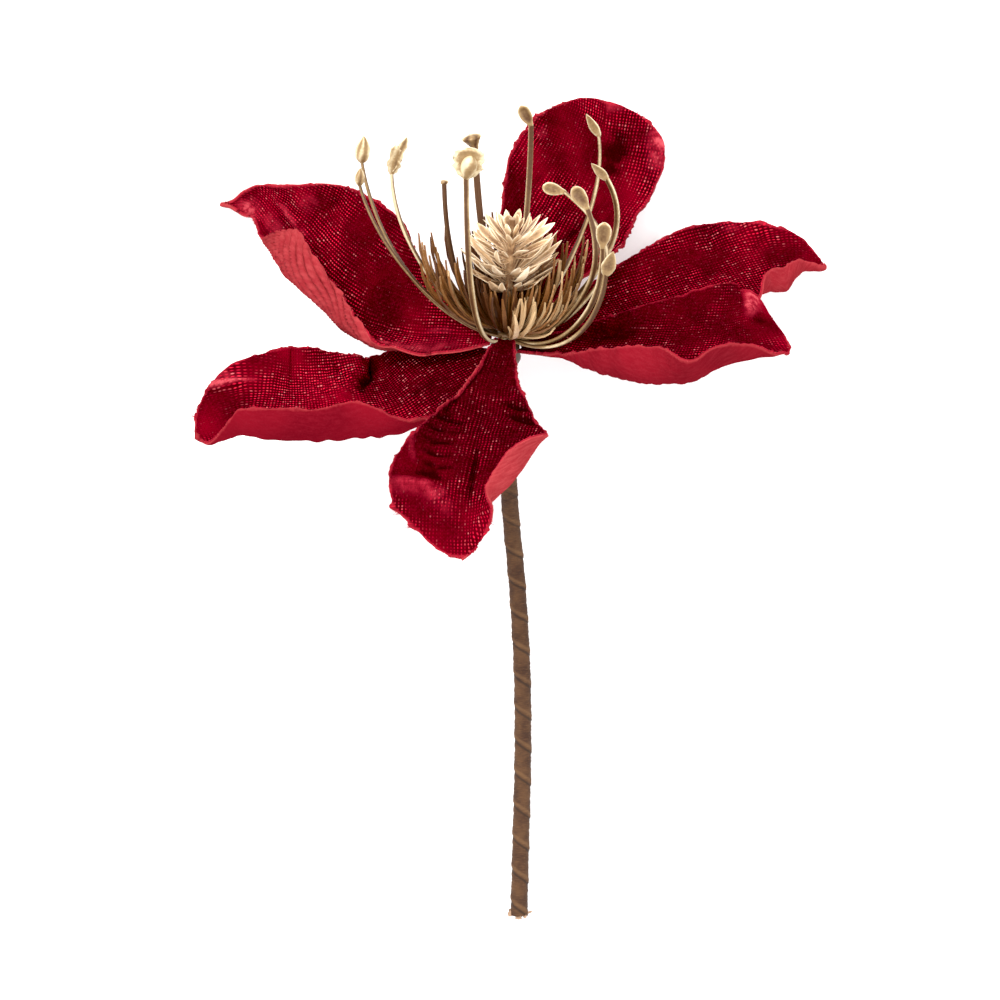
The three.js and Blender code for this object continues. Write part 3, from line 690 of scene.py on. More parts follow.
def woven_face():
    """Dark wine velvet on a coarse ground, whose threads show as rows of small bright dots, some of them
    pale painted glints, with painted light and shade along the petal and its folds.
    """
    look = Look("woven_wine_velvet", Roughness=0.95, Specular_IOR_Level=0.0)
    across, along = cloth_grid(look)
    place = look.object_place()
    pitch_across, pitch_along = 0.96, 0.9
    waver = look.noise(place, 220.0, 1.0)
    column = across / pitch_across + waver * 0.7
    row = along / pitch_along + waver * 0.6
    cell = look.node("ShaderNodeCombineXYZ", {}, column.floor(), row.floor(), 0.0)
    chance = look.node("ShaderNodeTexWhiteNoise", {"noise_dimensions": "3D"}, cell)
    thread_place = look.node("ShaderNodeCombineXYZ", {}, column.floor() * 1.7, row.floor() * 0.5, 0.0)
    lit_run = look.noise(thread_place, 1.0, 1.0)
    off_thread = (column.fraction() - 0.5).size()
    from_middle = (off_thread**2 * 1.7 + (row.fraction() - 0.5) ** 2 * 0.75) ** 0.5
    dot = from_middle.between(0.42, 0.14)
    patch = look.noise(place, 60.0, 2.0).between(0.36, 0.58)
    open_weave = (0.1 + patch * 0.9) * (0.5 + look.noise(place, 260.0, 2.0).between(0.3, 0.7) * 0.5)
    open_weave = open_weave * look.value_of("bright")
    pile = look.noise(place, 1500.0, 2.0)
    haze = look.noise(place, 80.0, 4.0, 0.6)
    base = look.mixed(haze.between(0.35, 0.7), "380006", "50010b")
    # Painted light lightens the face and painted shade darkens it, as laid along the petal
    light_and_shade = look.value_of("light_and_shade")
    base = look.mixed(light_and_shade.between(-0.1, 0.9) * 0.65, base, "94061f")
    base = look.mixed((light_and_shade * -1.0).between(-0.1, 1.0) * 0.7, base, "200004")
    base = look.mixed(pile.between(0.4, 0.8) * 0.3, base, "800c24")
    base = look.mixed((1.0 - dot) * open_weave * 0.6, base, "1c0003")
    # The threads' crimson is painted brighter where the petal is painted lit
    crimson = look.mixed(light_and_shade.between(-0.8, 0.4), "a0102a", "e6203f")
    # Pale pink specks along runs of threads are painted glints
    pale = lit_run.between(0.48, 0.7) * chance.between(0.15, 0.9)
    lit = look.mixed(pale, crimson, "ee7a7c")
    base = look.mixed(dot * open_weave * (0.35 + chance * 0.65), base, lit)
    # Folds painted light on their crests and painted shade in their creases, in patches
    fold_light_shade = look.value_of("fold_light_shade")
    patchy = look.noise(place, 330.0, 4.0, 0.65).between(0.3, 0.68)
    patchy_fold_light = fold_light_shade * (0.45 + patchy * 0.9)
    base = look.mixed(patchy_fold_light.between(0.05, 1.2) * 0.65, base, "a02235")
    base = look.mixed(patchy_fold_light.between(0.75, 1.6) * 0.8, base, "bd4c54")
    base = look.mixed((patchy_fold_light * -1.0).between(0.05, 1.0) * 0.85, base, "190004")
    # A lighter coral line along the rim: partly the raw edge, partly painted sheen along the outline
    rim = look.value_of("rim")
    fringe_and_sheen = rim + look.noise(place, 900.0, 1.0) * 0.8 + look.noise(place, 130.0, 1.0) * 1.6
    base = look.mixed(fringe_and_sheen.between(2.1, 1.0) * 0.7, base, "a02232")
    look.set("Base Color", base)
    look.bump(dot * 0.8 + pile * 0.5, 0.0003, 0.9)
    return look.material


def velour_lining():
    """Coral velour with uneven brush strokes; some petals' linings are painted as lit coral, others as
    shaded crimson.
    """
    look = Look("coral_velour", Roughness=0.95, Specular_IOR_Level=0.0)
    place = look.object_place()
    across, along = cloth_grid(look)
    brushed_and_lit = look.node("ShaderNodeCombineXYZ", {}, across * 1.3, along * 0.35, 0.0)
    strokes = look.noise(brushed_and_lit, 1.0, 4.0, 0.6)
    pile = look.noise(place, 1900.0, 2.0)
    blotch = look.noise(place, 60.0, 3.0)
    base = look.mixed(blotch.between(0.3, 0.7), "600a16", "700e1b")
    base = look.mixed(strokes.between(0.4, 0.75) * 0.4, base, "781724")
    base = look.mixed(pile.between(0.45, 0.8) * 0.3, base, "7a1b28")
    coral = look.mixed(strokes.between(0.35, 0.7) * 0.7, "8a292e", "a24042")
    # How far each petal's lining is painted as lit coral over shaded crimson
    base = look.mixed(look.value_of("brushed_and_lit"), base, coral)
    base = look.mixed(pile.between(0.45, 0.8) * look.value_of("brushed_and_lit") * 0.25, base, "a23e44")
    # Folds painted light on their crests and painted shade in their creases
    fold_light_shade = look.value_of("fold_light_shade")
    base = look.mixed(fold_light_shade.between(0.05, 1.0) * 0.5, base, "9c3c43")
    base = look.mixed((fold_light_shade * -1.0).between(0.05, 1.0) * 0.7, base, "4f0815")
    # A lighter line along the rim: partly the raw edge, partly painted sheen along the outline
    rim = look.value_of("rim")
    fringe_and_sheen = rim + look.noise(place, 900.0, 1.0) * 0.8
    base = look.mixed(fringe_and_sheen.between(1.2, 0.4) * 0.4, base, "a33a3e")
    look.set("Base Color", base)
    look.bump(pile * 0.7 + strokes * 0.6, 0.00025, 0.8)
    return look.material


def rim_fibre():
    """Frayed coral fibres, paler towards some of their ends."""
    look = Look("coral_fibre", Roughness=0.8, Specular_IOR_Level=0.2)
    place = look.object_place()
    base = look.mixed(look.noise(place, 900.0, 1.0).between(0.35, 0.7), "8f1729", "bc4f55")
    look.set("Base Color", base)
    return look.material


def moulded_plastic(name, light, middle, dark, gloss):
    """Plastic with a thin metallic coat in an uneven tone, with painted highlights on rims and ribs and
    dark brown painted shade in the hollows.
    """
    look = Look(name, Metallic=gloss)
    place = look.object_place()
    cloud = look.noise(place, 190.0, 4.0, 0.6)
    speck = look.noise(place, 1500.0, 2.0)
    # Each piece's painted highlights and painted shade, over a cloudy uneven tone
    tone_and_painted_light = look.value_of("tone_and_painted_light") + (cloud - 0.5) * 0.8 + (speck - 0.5) * 0.4
    base = look.mixed(tone_and_painted_light.between(-0.1, 0.55), dark, middle)
    base = look.mixed(tone_and_painted_light.between(0.5, 1.05), base, light)
    look.set("Base Color", base)
    look.set("Roughness", 0.26 + cloud * 0.25 + speck * 0.1)
    streak = look.noise(look.scaled(place, (1500.0, 1500.0, 160.0)), 1.0, 3.0)
    look.bump(speck * 0.5 + streak * 0.8, 0.00012, 0.7)
    return look.material


def crepe_tape():
    """Brown crepe paper tape with fine stretch wrinkles and waxy seams, painted light on their ridges
    and dark at their feet as painted highlight and painted shade.
    """
    look = Look("brown_crepe_tape", Roughness=0.8, Specular_IOR_Level=0.3)
    place = look.object_place()
    around, along = cloth_grid(look)
    stretched = look.node("ShaderNodeCombineXYZ", {}, around * 0.6, along * 5.0, 0.0)
    creping = look.noise(stretched, 1.0, 3.0)
    fibre = look.noise(place, 2200.0, 2.0)
    cloud = look.noise(place, 220.0, 3.0)
    base = look.mixed(cloud.between(0.3, 0.7), "351f12", "4e341f")
    base = look.mixed(creping.between(0.45, 0.75) * 0.6, base, "614329")
    base = look.mixed(fibre.between(0.6, 0.85) * 0.35, base, "7d6043")
    # Painted highlight on the seams' ridges and painted shade at their feet; above 1.2 is the scraps'
    # paler paper
    seam = look.value_of("tone_and_painted_light")
    base = look.mixed(seam.between(0.1, 1.0) * 0.35, base, "705235")
    base = look.mixed(seam.between(1.2, 2.0), base, "b19178")
    base = look.mixed((seam * -1.0).between(0.1, 1.0) * 0.75, base, "251810")
    look.set("Base Color", base)
    look.set("Roughness", 0.7 + fibre * 0.25)
    look.bump(creping * 1.0 + fibre * 0.4, 0.0002, 0.9)
    return look.material


def cut_steel():
    """Drawn steel wire, dull with a little rust at the cut."""
    look = Look("drawn_steel", Roughness=0.4, Metallic=1.0)
    place = look.object_place()
    cloud = look.noise(place, 700.0, 3.0)
    base = look.mixed(cloud.between(0.55, 0.75), "7d7b78", "4c3a2e")
    look.set("Base Color", base)
    look.set("Roughness", 0.3 + cloud * 0.3)
    return look.material


def studio_paper():
    """The pale floor."""
    look = Look("pale_floor", Roughness=0.9, Specular_IOR_Level=0.1)
    base = look.mixed(look.noise(look.object_place(), 12.0), "f8f8f8", "ffffff")
    look.set("Base Color", base)
    return look.material


# Petals
def fold_bell(way, width, along, aside):
    """1 on the line of a fold, falling off beside it and towards its ends."""
    runs = [math.dist(a, b) for a, b in zip(way, way[1:])]
    off = np.full_like(along, 1e3)
    at = np.zeros_like(along)
    before = 0.0
    for (a0, s0), (a1, s1), length in zip(way, way[1:], runs):
        run = np.array([a1 - a0, s1 - s0], float)
        share = np.clip(((along - a0) * run[0] + (aside - s0) * run[1]) / length**2, 0, 1)
        distance = np.hypot(along - a0 - share * run[0], aside - s0 - share * run[1])
        at = np.where(distance < off, before + share * length, at)
        off = np.minimum(off, distance)
        before += length
    ends = np.clip(np.minimum(at, before - at) / (0.3 * before), 0, 1)
    return np.exp(-((off / width) ** 2)) * (0.25 + 0.75 * ends)


def fold_height(petal, along, aside):
    """Height of the folds, and their painted light on crests and painted shade in creases, at places on
    the flat cloth.
    """
    height = np.zeros_like(along)
    fold_shading = np.zeros_like(along)
    for way, lift, width, fold_light_shade in petal["folds"]:
        bell = fold_bell(way, width, along, aside)
        height += lift * bell
        fold_shading += fold_light_shade * bell
    for middle, spread, (low, high), every, lift, slant in petal["gathers"]:
        inside = np.clip((along - low) / 8, 0, 1) * np.clip((high - along) / 8, 0, 1)
        band = inside * np.exp(-(((aside - middle) / spread) ** 2))
        turn = (along + slant * aside) / every + 0.22 * np.sin(along * 0.31)
        ripple = np.cos(2 * math.pi * turn)
        height += lift * band * ripple
        # The gathers' wrinkles are painted light on their crests and painted shade in their troughs
        fold_shading += 0.4 * band * ripple
    return height, fold_shading


def waves(seed, along, aside, lengths):
    """A smooth uneven surface between about -1 and 1, of waves of these lengths."""
    draw = random.Random(seed)
    total = np.zeros_like(along)
    for length in lengths:
        heading = draw.uniform(-0.9, 0.9)
        phase = draw.uniform(0, 6.28)
        step = 2 * math.pi / (length * draw.uniform(0.85, 1.15))
        total += np.sin(step * (along * math.cos(heading) + aside * math.sin(heading)) + phase)
    return total / math.sqrt(len(lengths))


class Petal:
    """The middle of a petal's cloth on a fine grid, with its facing and its flat measures.

    A wing leaves the spine at its root angle and bends towards its rim angle as it goes outwards.
    """

    def __init__(self, petal, order):
        self.spec = petal
        self.placing = FLOWER_TILT @ Matrix.Rotation(math.radians(petal["azimuth"]), 4, "Z")
        share = np.linspace(0, 1, CLOTH_ROWS + 1)
        # The rows lie closer towards the tip, where the outline turns
        s = 1 - (1 - share) * (1 - share**6)
        spine, self.length = along_curve(petal["spine"], s)
        ahead, _ = along_curve(petal["spine"], np.minimum(s + 0.002, 1))
        behind, _ = along_curve(petal["spine"], np.maximum(s - 0.002, 0))
        along = unit(ahead - behind)
        up = unit(np.array([0, 0, 1.0]) - along[:, 2:3] * along)
        side = np.cross(along, up)
        rounding = np.sqrt(np.clip(1 - s**TIP_ROUNDING, 0, 1))
        across = 2 * WING_COLUMNS + 1
        places = np.zeros((CLOTH_ROWS + 1, across, 3))
        aside = np.zeros((CLOTH_ROWS + 1, across))
        reach = np.zeros((CLOTH_ROWS + 1, across))
        places[:, WING_COLUMNS] = spine
        self.half_width = {}
        flare_from, flared_by = FLARED_BETWEEN
        for sign, key in ((1, "right"), (-1, "left")):
            wing = petal[key]
            width = through(wing["width"], s) * rounding
            root = np.radians(through(wing["root"], s))
            rim = np.radians(through(wing["rim"], s))
            flare = np.radians(through(wing.get("flare", [0, 0]), s))
            self.half_width[key] = width
            point = spine.copy()
            reach[:, WING_COLUMNS] = width
            for k in range(WING_COLUMNS * 2):
                t = (k + 0.5) / (WING_COLUMNS * 2)
                turned = min(1, max(0, (t - flare_from) / (flared_by - flare_from)))
                turned = turned**2 * (3 - 2 * turned)
                bend = root + (rim - root) * t**BEND_GROWTH + flare * turned
                step = sign * np.cos(bend)[:, None] * side + np.sin(bend)[:, None] * up
                point = point + step * (width / (WING_COLUMNS * 2))[:, None]
                if k % 2:
                    column = (k + 1) // 2
                    places[:, WING_COLUMNS + sign * column] = point
                    aside[:, WING_COLUMNS + sign * column] = sign * width * column / WING_COLUMNS
                    reach[:, WING_COLUMNS + sign * column] = width * (1 - column / WING_COLUMNS)
        self.along = np.broadcast_to((s * self.length)[:, None], aside.shape).copy()
        self.aside = aside
        self.rim = np.minimum(reach, self.length - self.along)
        facing = self.facing_of(places)
        near_rim = np.exp(-self.rim / 5)
        grown = np.clip((self.along - 6) / 20, 0, 1)
        height, self.fold_light_shade = fold_height(petal, self.along, self.aside)
        swell = waves(order, self.along, self.aside, SWELL_LENGTHS)
        flutter = waves(order + 50, self.along, self.aside * 0.2, FLUTTER_LENGTHS)
        pucker = waves(order + 90, self.along, self.aside, PUCKER_LENGTHS)
        height += 0.35 * grown * swell
        height += 0.45 * grown * near_rim * flutter
        height += 0.1 * grown * pucker
        # Painted light and shade along the petal, painted shade near the hub on most, uneven in waves
        self.light_and_shade = through(petal["light_and_shade"], self.along / self.length)
        self.light_and_shade = self.light_and_shade + 0.25 * waves(order + 30, self.along, self.aside, LIGHT_SHADE_LENGTHS)
        self.places = places + facing * height[..., None]
        self.facing = self.facing_of(self.places)
        draw = np.random.default_rng(order)
        for edge, inner in ((0, 2), (-1, -3)):
            outward = unit(self.places[:, edge] - self.places[:, inner])
            rough = np.convolve(draw.normal(0, RAGGED_EDGE, CLOTH_ROWS + 3), (0.3, 0.4, 0.3), "valid")
            rough = rough + 0.7 * draw.random(CLOTH_ROWS + 1) ** 14
            for side, place, reach in petal["tufts"]:
                if side == ("right" if edge else "left"):
                    rough = rough + 0.4 * reach * np.exp(-(((share - place) / 0.011) ** 2))
            self.places[:, edge] += outward * rough[:, None]

    @staticmethod
    def facing_of(places):
        along = np.gradient(places, axis=0)
        across = np.gradient(places, axis=1)
        along[-1] = along[-2]
        across[-1] = across[-2]
        return unit(np.cross(across, along))


def make_layer(petal, name, lift):
    """One layer of a petal's cloth, lifted off the middle."""
    piece, column, row = cloth_piece(name, 2 * WING_COLUMNS, CLOTH_ROWS)
    places = petal.places + petal.facing * lift
    place_corners(piece, places[row, column])
    for key, values in (("fold_light_shade", petal.fold_light_shade), ("light_and_shade", petal.light_and_shade), ("rim", petal.rim)):
        add_values(piece, key, values[row, column])
    for key in ("brushed_and_lit", "bright"):
        add_values(piece, key, petal.spec[key])
    across = petal.aside[row, column] / CLOTH_MAP + 0.5
    map_cloth(piece, across, petal.along[row, column] / CLOTH_MAP + 0.1)
    settle(piece, petal.placing)
    with editing(piece):
        bpy.ops.mesh.remove_doubles(threshold=2e-6)
    finish_modifier(piece, "SOLIDIFY", thickness=LAYER_THICKNESS * MM, offset=0.0)
    smooth(piece, 60)
    return piece


def make_fringe(petal, name, seed):
    """The fibres fraying out along a petal's cut edge."""
    draw = np.random.default_rng(seed)
    strands = []
    for sign, column in ((-1, 0), (1, -1)):
        edge = petal.places[:, column]
        inner = petal.places[:, column - 3 * sign if column else 3]
        outward = unit(edge - inner)
        forward = np.gradient(edge, axis=0)
        run = run_along(edge)
        count = int(run[-1] * FIBRES_PER_MM)
        at = draw.uniform(2, run[-1], count)
        base = at_runs(at, run, edge)
        out = at_runs(at, run, outward)
        normal = at_runs(at, run, petal.facing[:, column])
        way = unit(at_runs(at, run, forward))
        base = base - out * 0.25 + normal * draw.uniform(-0.5, 0.5, (count, 1))
        aim = out + way * draw.normal(0, 0.7, (count, 1)) + normal * draw.normal(0, 0.5, (count, 1))
        thick = np.full((count, 1), 0.05)
        strands.append((base, unit(aim), 0.3 + 0.55 * draw.random((count, 1)) ** 3, thick))
        for side, place, reach in petal.spec["tufts"]:
            if side != ("right" if column else "left"):
                continue
            each = (TUFT_FIBRES, 1)
            at = run[-1] * place + draw.normal(0, 0.5, TUFT_FIBRES)
            out = at_runs(at, run, outward)
            base = at_runs(at, run, edge) - out * 0.4
            way = unit(at_runs(at, run, forward))
            aim = out + way * draw.normal(0.3, 0.35, each) + draw.normal(0, 0.2, (TUFT_FIBRES, 3))
            thick = draw.uniform(0.06, 0.16, each)
            strands.append((base, unit(aim), reach * draw.uniform(0.4, 1, each), thick))
    base, aim, length, thick = (np.concatenate([s[k] for s in strands]) for k in range(4))
    first = unit(np.cross(aim, draw.normal(0, 1, aim.shape)))
    second = np.cross(aim, first)
    turns = [2 * math.pi * k / 3 for k in range(3)]
    feet = [base + thick * (math.cos(t) * first + math.sin(t) * second) for t in turns]
    places = np.stack([*feet, base + aim * length], 1).reshape(-1, 3)
    starts = np.arange(len(base))[:, None, None] * 4
    faces = (starts + np.array([[0, 1, 3], [1, 2, 3], [2, 0, 3], [2, 1, 0]])).reshape(-1, 3)
    mesh = bpy.data.meshes.new(name)
    mesh.from_pydata(places.tolist(), [], faces.tolist())
    piece = bpy.data.objects.new(name, mesh)
    bpy.context.collection.objects.link(piece)
    settle(piece, petal.placing)
    return piece


def make_petals():
    face_look = woven_face()
    lining_look = velour_lining()
    fibre_look = rim_fibre()
    for order, spec in enumerate(PETALS):
        petal = Petal(spec, order + 1)
        name = spec["name"]
        face = make_layer(petal, name + ".face", LAYER_LIFT)
        lining = make_layer(petal, name + ".lining", -LAYER_LIFT)
        fringe = make_fringe(petal, name + ".fringe", order + 1)
        hand_over(face, face_look, name)
        hand_over(lining, lining_look)
        hand_over(fringe, fibre_look)


# The moulded centre
def extrude_upwards(steps, rise):
    """Extrudes what is selected in steps of this rise."""
    for _ in range(steps):
        bpy.ops.mesh.extrude_region_move(TRANSFORM_OT_translate={"value": (0, 0, rise)})


def straight_rod(name, sides, steps, groove=0.0):
    """A straight rod of radius 1 and length 1 along Z, grooved along its sides, closed at both ends."""
    bpy.ops.mesh.primitive_circle_add(vertices=sides, radius=1, fill_type="NGON", location=(0, 0, 0))
    piece = fresh(name)
    places = corners(piece)
    turn = np.arctan2(places[:, 1], places[:, 0])
    deep = 1 - groove * np.exp(-((np.abs(np.abs(turn) - math.pi / 2) / 0.45) ** 2))
    place_corners(piece, places * deep[:, None])
    with editing(piece):
        extrude_upwards(steps, 1 / steps)
    recalculated(piece)
    return piece


def lay_along(piece, path, aside, wide, thick, twist=0.0):
    """Bends a straight piece along a path, its X aside of it, with its size given along the way."""
    places = corners(piece)
    share = np.clip(places[:, 2], 0, 1)
    run = run_along(path)
    middle = at_runs(share * run[-1], run, path)
    tangent = unit(at_runs(share * run[-1], run, unit(np.gradient(path, axis=0))))
    side = unit(aside - (tangent @ aside)[:, None] * tangent)
    top = np.cross(tangent, side)
    turn = twist * share
    x = places[:, 0] * wide(share)
    y = places[:, 1] * thick(share)
    across = x * np.cos(turn) - y * np.sin(turn)
    raised = x * np.sin(turn) + y * np.cos(turn)
    beyond = (places[:, 2] - share) * run[-1]
    laid = middle + side * across[:, None] + top * raised[:, None] + tangent * beyond[:, None]
    place_corners(piece, laid)


def constant(value):
    return lambda share: np.full_like(share, value)


def paddle(name, kind, half_width, length, seed=0, segments=20, rings=16):
    """A moulded paddle from its root at the origin up along Z, its hollow facing +Y."""
    outline, thickness, hollow, ribbed, ragged = PADDLES[kind]
    bpy.ops.mesh.primitive_uv_sphere_add(segments=segments, ring_count=rings, radius=1)
    piece = fresh(name)
    places = corners(piece)
    share = (places[:, 2] + 1) / 2
    around = np.arctan2(places[:, 1], places[:, 0])
    rim = np.abs(np.cos(around))
    ends = np.sqrt(np.clip(1 - np.abs(2 * share - 1) ** 7, 0, 1))
    flutter = np.sin(31 * share + 5 * around + seed) * np.sin(13 * share - 3 * around + 2 * seed)
    ribs = 0.12 * np.cos(ribbed * around + 3 * share + seed) if ribbed else 0
    half = through(outline, share) * ends * (1 + ribs + ragged * flutter) * half_width
    dip = np.where(np.sin(around) > 0, hollow * np.exp(-((rim / 0.8) ** 5)), 0)
    dip = dip * np.clip((share - 0.12) / 0.2, 0, 1) * np.clip((0.95 - share) / 0.12, 0, 1)
    across = np.cos(around) * half
    raised = np.sin(around) * half * thickness * (1 - 1.15 * dip)
    raised = raised + 0.12 * hollow * rim * half
    place_corners(piece, np.stack([across, raised, share * length], 1))
    # Painted shade in the hollow, painted highlights along the edges, painted light and shade on the
    # ribs
    add_values(piece, "tone_and_painted_light", 0.75 - 0.5 * dip + 0.5 * rim**3 + ribs * 2.5)
    return piece


def make_stamens(look):
    rod = straight_rod("filament", 16, 44, 0.42)
    pieces = []
    draw = random.Random(11)
    for number, (tip, drift, roundness, half_width, brown, anthers) in enumerate(STAMENS):
        azimuth, reach, height = tip
        path, aside = bowl(azimuth, reach, height, STAMEN_START, roundness, drift)
        run = run_along(path)
        kept = run <= run[-1] - 0.85 * max(length for _, _, length, _ in anthers)
        filament = copy_of(rod, f"filament_{number}")
        around = np.arctan2(corners(filament)[:, 1], corners(filament)[:, 0])
        flutter = draw.uniform(0, 6)
        wide = lambda share: half_width * (1.15 - 0.25 * share + 0.07 * np.sin(9 * share + flutter))
        thick = lambda share: half_width * (0.85 - 0.1 * share + 0.06 * np.sin(13 * share + flutter))
        lay_along(filament, path[kept], aside, wide, thick, draw.uniform(-0.9, 0.9))
        # Painted highlights on the filament's two flat faces and painted shade in its two grooves, over
        # the plastic's own brown and uneven patches
        patches = 0.25 * np.sin(corners(filament)[:, 1] * 0.35 + flutter)
        add_values(filament, "tone_and_painted_light", 0.55 - brown + patches + 0.6 * np.cos(2 * around))
        pieces.append(filament)
        end = path[kept][-1]
        ahead = unit(path[kept][-1] - path[kept][-4])
        top = unit(np.array(TO_VIEWER) - (ahead @ TO_VIEWER) * ahead)
        right = np.cross(ahead, top)
        for kind, anther_width, length, lean in anthers:
            anther = paddle("anther", kind, anther_width, length, seed=number + length)
            c, s = math.cos(math.radians(lean)), math.sin(math.radians(lean))
            axis, side = ahead * c - right * s, right * c + ahead * s
            spread = corners(anther)
            placed = end + spread[:, :1] * side + spread[:, 1:2] * top + (spread[:, 2:] - 0.7) * axis
            place_corners(anther, placed)
            add_values(anther, "tone_and_painted_light", recalled(anther, "tone_and_painted_light") - 0.55 * brown)
            pieces.append(anther)
    drop(rod)
    bpy.ops.mesh.primitive_uv_sphere_add(segments=24, ring_count=12, radius=1)
    knot = fresh("knot")
    places = corners(knot)
    turn = np.arctan2(places[:, 1], places[:, 0])
    bulge = 2.6 * (1 + 0.08 * np.cos(9 * turn))
    knotted = [places[:, 0] * bulge, places[:, 1] * bulge, places[:, 2] * 1.1 + 2.0]
    place_corners(knot, np.stack(knotted, 1))
    add_values(knot, "tone_and_painted_light", 0.2)
    spray = joined([knot, *pieces], "stamen_spray")
    settle(spray, FLOWER_TILT)
    recalculated(spray)
    smooth(spray, 50)
    hand_over(spray, look, "long_stamens")


def make_needles(look):
    step = 1 / NEEDLE_STEPS
    bpy.ops.mesh.primitive_cube_add(size=2)
    blade = fresh("blade")
    places = corners(blade)
    places[:, 2] = np.where(places[:, 2] > 0, step, 0)
    place_corners(blade, places)
    with editing(blade):
        bpy.ops.mesh.select_all(action="DESELECT")
    for face in blade.data.polygons:
        face.select = face.normal.z > 0.9
    bpy.ops.object.mode_set(mode="EDIT")
    extrude_upwards(NEEDLE_STEPS - 1, step)
    bpy.ops.object.mode_set(mode="OBJECT")
    draw = random.Random(7)
    pieces = []
    for count, (first, last), reach, height, start, roundness, widths, brown in NEEDLE_RINGS:
        for k in range(count):
            azimuth = first + (last - first) * k / count + draw.uniform(-3, 3)
            way = (azimuth, draw.uniform(*reach), draw.uniform(*height), start, roundness)
            path, aside = bowl(*way, steps=30)
            sway = draw.uniform(-3, 3)
            path = path + aside * (sway * np.linspace(0, 1, 30) ** 2)[:, None]
            needle = copy_of(blade, "needle")
            width = draw.uniform(*widths)
            wide = lambda share: width * (0.75 + 0.5 * share - 1.0 * np.maximum(share - 0.7, 0) / 0.3)
            share = corners(needle)[:, 2]
            thick = constant(NEEDLE_THICKNESS)
            lay_along(needle, path, aside, wide, thick, draw.uniform(-1.2, 1.2))
            # Painted light on the side of the brush towards azimuth 320, painted shade at the needles'
            # bases
            lit = 0.35 * math.cos(math.radians(azimuth - 320))
            add_values(needle, "tone_and_painted_light", 0.4 * share**1.5 + 0.5 + lit - draw.uniform(*brown))
            pieces.append(needle)
    drop(blade)
    bpy.ops.mesh.primitive_cone_add(
        vertices=32, radius1=2, radius2=5.5, depth=3.4, location=(0, 0, 4.8),
    )
    cup = fresh("cup")
    bpy.ops.object.transform_apply()
    finish_modifier(cup, "BEVEL", width=0.35, segments=2)
    add_values(cup, "tone_and_painted_light", 0.0)
    brush = joined([cup, *pieces], "needles")
    settle(brush, FLOWER_TILT)
    recalculated(brush)
    smooth(brush, 40)
    hand_over(brush, look, "needle_brush")


def make_cone(look):
    scale = paddle("scale", "scale", 0.5, 1, segments=14, rings=12)
    draw = random.Random(5)
    pieces = []
    for level, (count, out, up, width, tier_slope, shaded) in enumerate(TIERS):
        for k in range(count):
            slope = math.radians(tier_slope + draw.uniform(-5, 5))
            length = (out - SCALE_ROOT) / math.cos(slope) * draw.uniform(0.86, 1.06)
            azimuth = 360 * (k + 0.5 * (level % 2)) / count + draw.uniform(-5, 5)
            if abs(azimuth - 270) < BARE_FRONT:
                continue
            turn = math.radians(azimuth)
            roll = draw.uniform(-0.5, 0.5)
            broad = width * draw.uniform(0.8, 1.2)
            droop = draw.uniform(-0.05, 0.12)
            leaf = copy_of(scale, "scale")
            places = corners(leaf)
            x = places[:, 2] * length
            y = places[:, 0] * broad
            z = places[:, 1] * broad * 0.9
            z = z + length * (0.06 * places[:, 2] ** 3 - droop * np.sin(places[:, 2] * math.pi))
            y, z = y * math.cos(roll) - z * math.sin(roll), y * math.sin(roll) + z * math.cos(roll)
            lowered = up - (out - SCALE_ROOT) * math.tan(slope)
            forward = SCALE_ROOT + x * math.cos(slope) - z * math.sin(slope)
            raised = lowered + x * math.sin(slope) + z * math.cos(slope)
            placed = [
                forward * math.cos(turn) - y * math.sin(turn),
                forward * math.sin(turn) + y * math.cos(turn),
                raised,
            ]
            place_corners(leaf, np.stack(placed, 1))
            shade = draw.uniform(-0.3, 0.15) - 0.6 * (1 - x / length) ** 2 - shaded
            add_values(leaf, "tone_and_painted_light", recalled(leaf, "tone_and_painted_light") + shade)
            pieces.append(leaf)
    drop(scale)
    scales = joined(pieces, "scales")
    trunk = straight_rod("trunk", 20, 30, 0.1)
    places = corners(trunk)
    swell = 1.2 - 0.3 * places[:, 2] + 0.1 * np.sin(places[:, 2] * 44)
    risen = CONE_BOTTOM + places[:, 2] * CONE_RISE
    place_corners(trunk, np.stack([places[:, 0] * swell, places[:, 1] * swell, risen], 1))
    # Painted light on the swollen rings of the trunk and painted shade between them
    rings = 0.2 * np.sin(places[:, 2] * 44) * np.clip(places[:, 2] * 3 - 1, 0, 1)
    add_values(trunk, "tone_and_painted_light", 0.15 + rings)
    cone = joined([trunk, scales], "cone_scales")
    places = corners(cone)
    places[:, 0] += CONE_LEAN * np.maximum(places[:, 2] - CONE_BOTTOM, 0)
    place_corners(cone, places)
    settle(cone, FLOWER_TILT)
    recalculated(cone)
    smooth(cone, 50)
    hand_over(cone, look, "centre_cone")


# The stem
def stem_path():
    """The stem's centre line, on up the flower's axis."""
    tilt = np.array(FLOWER_TILT)
    heights = (-15, RECEPTACLE_BOTTOM, -2.3)
    return STEM + [(tilt[:3, :3] @ [0, 0, z] + tilt[:3, 3]).tolist() for z in heights]


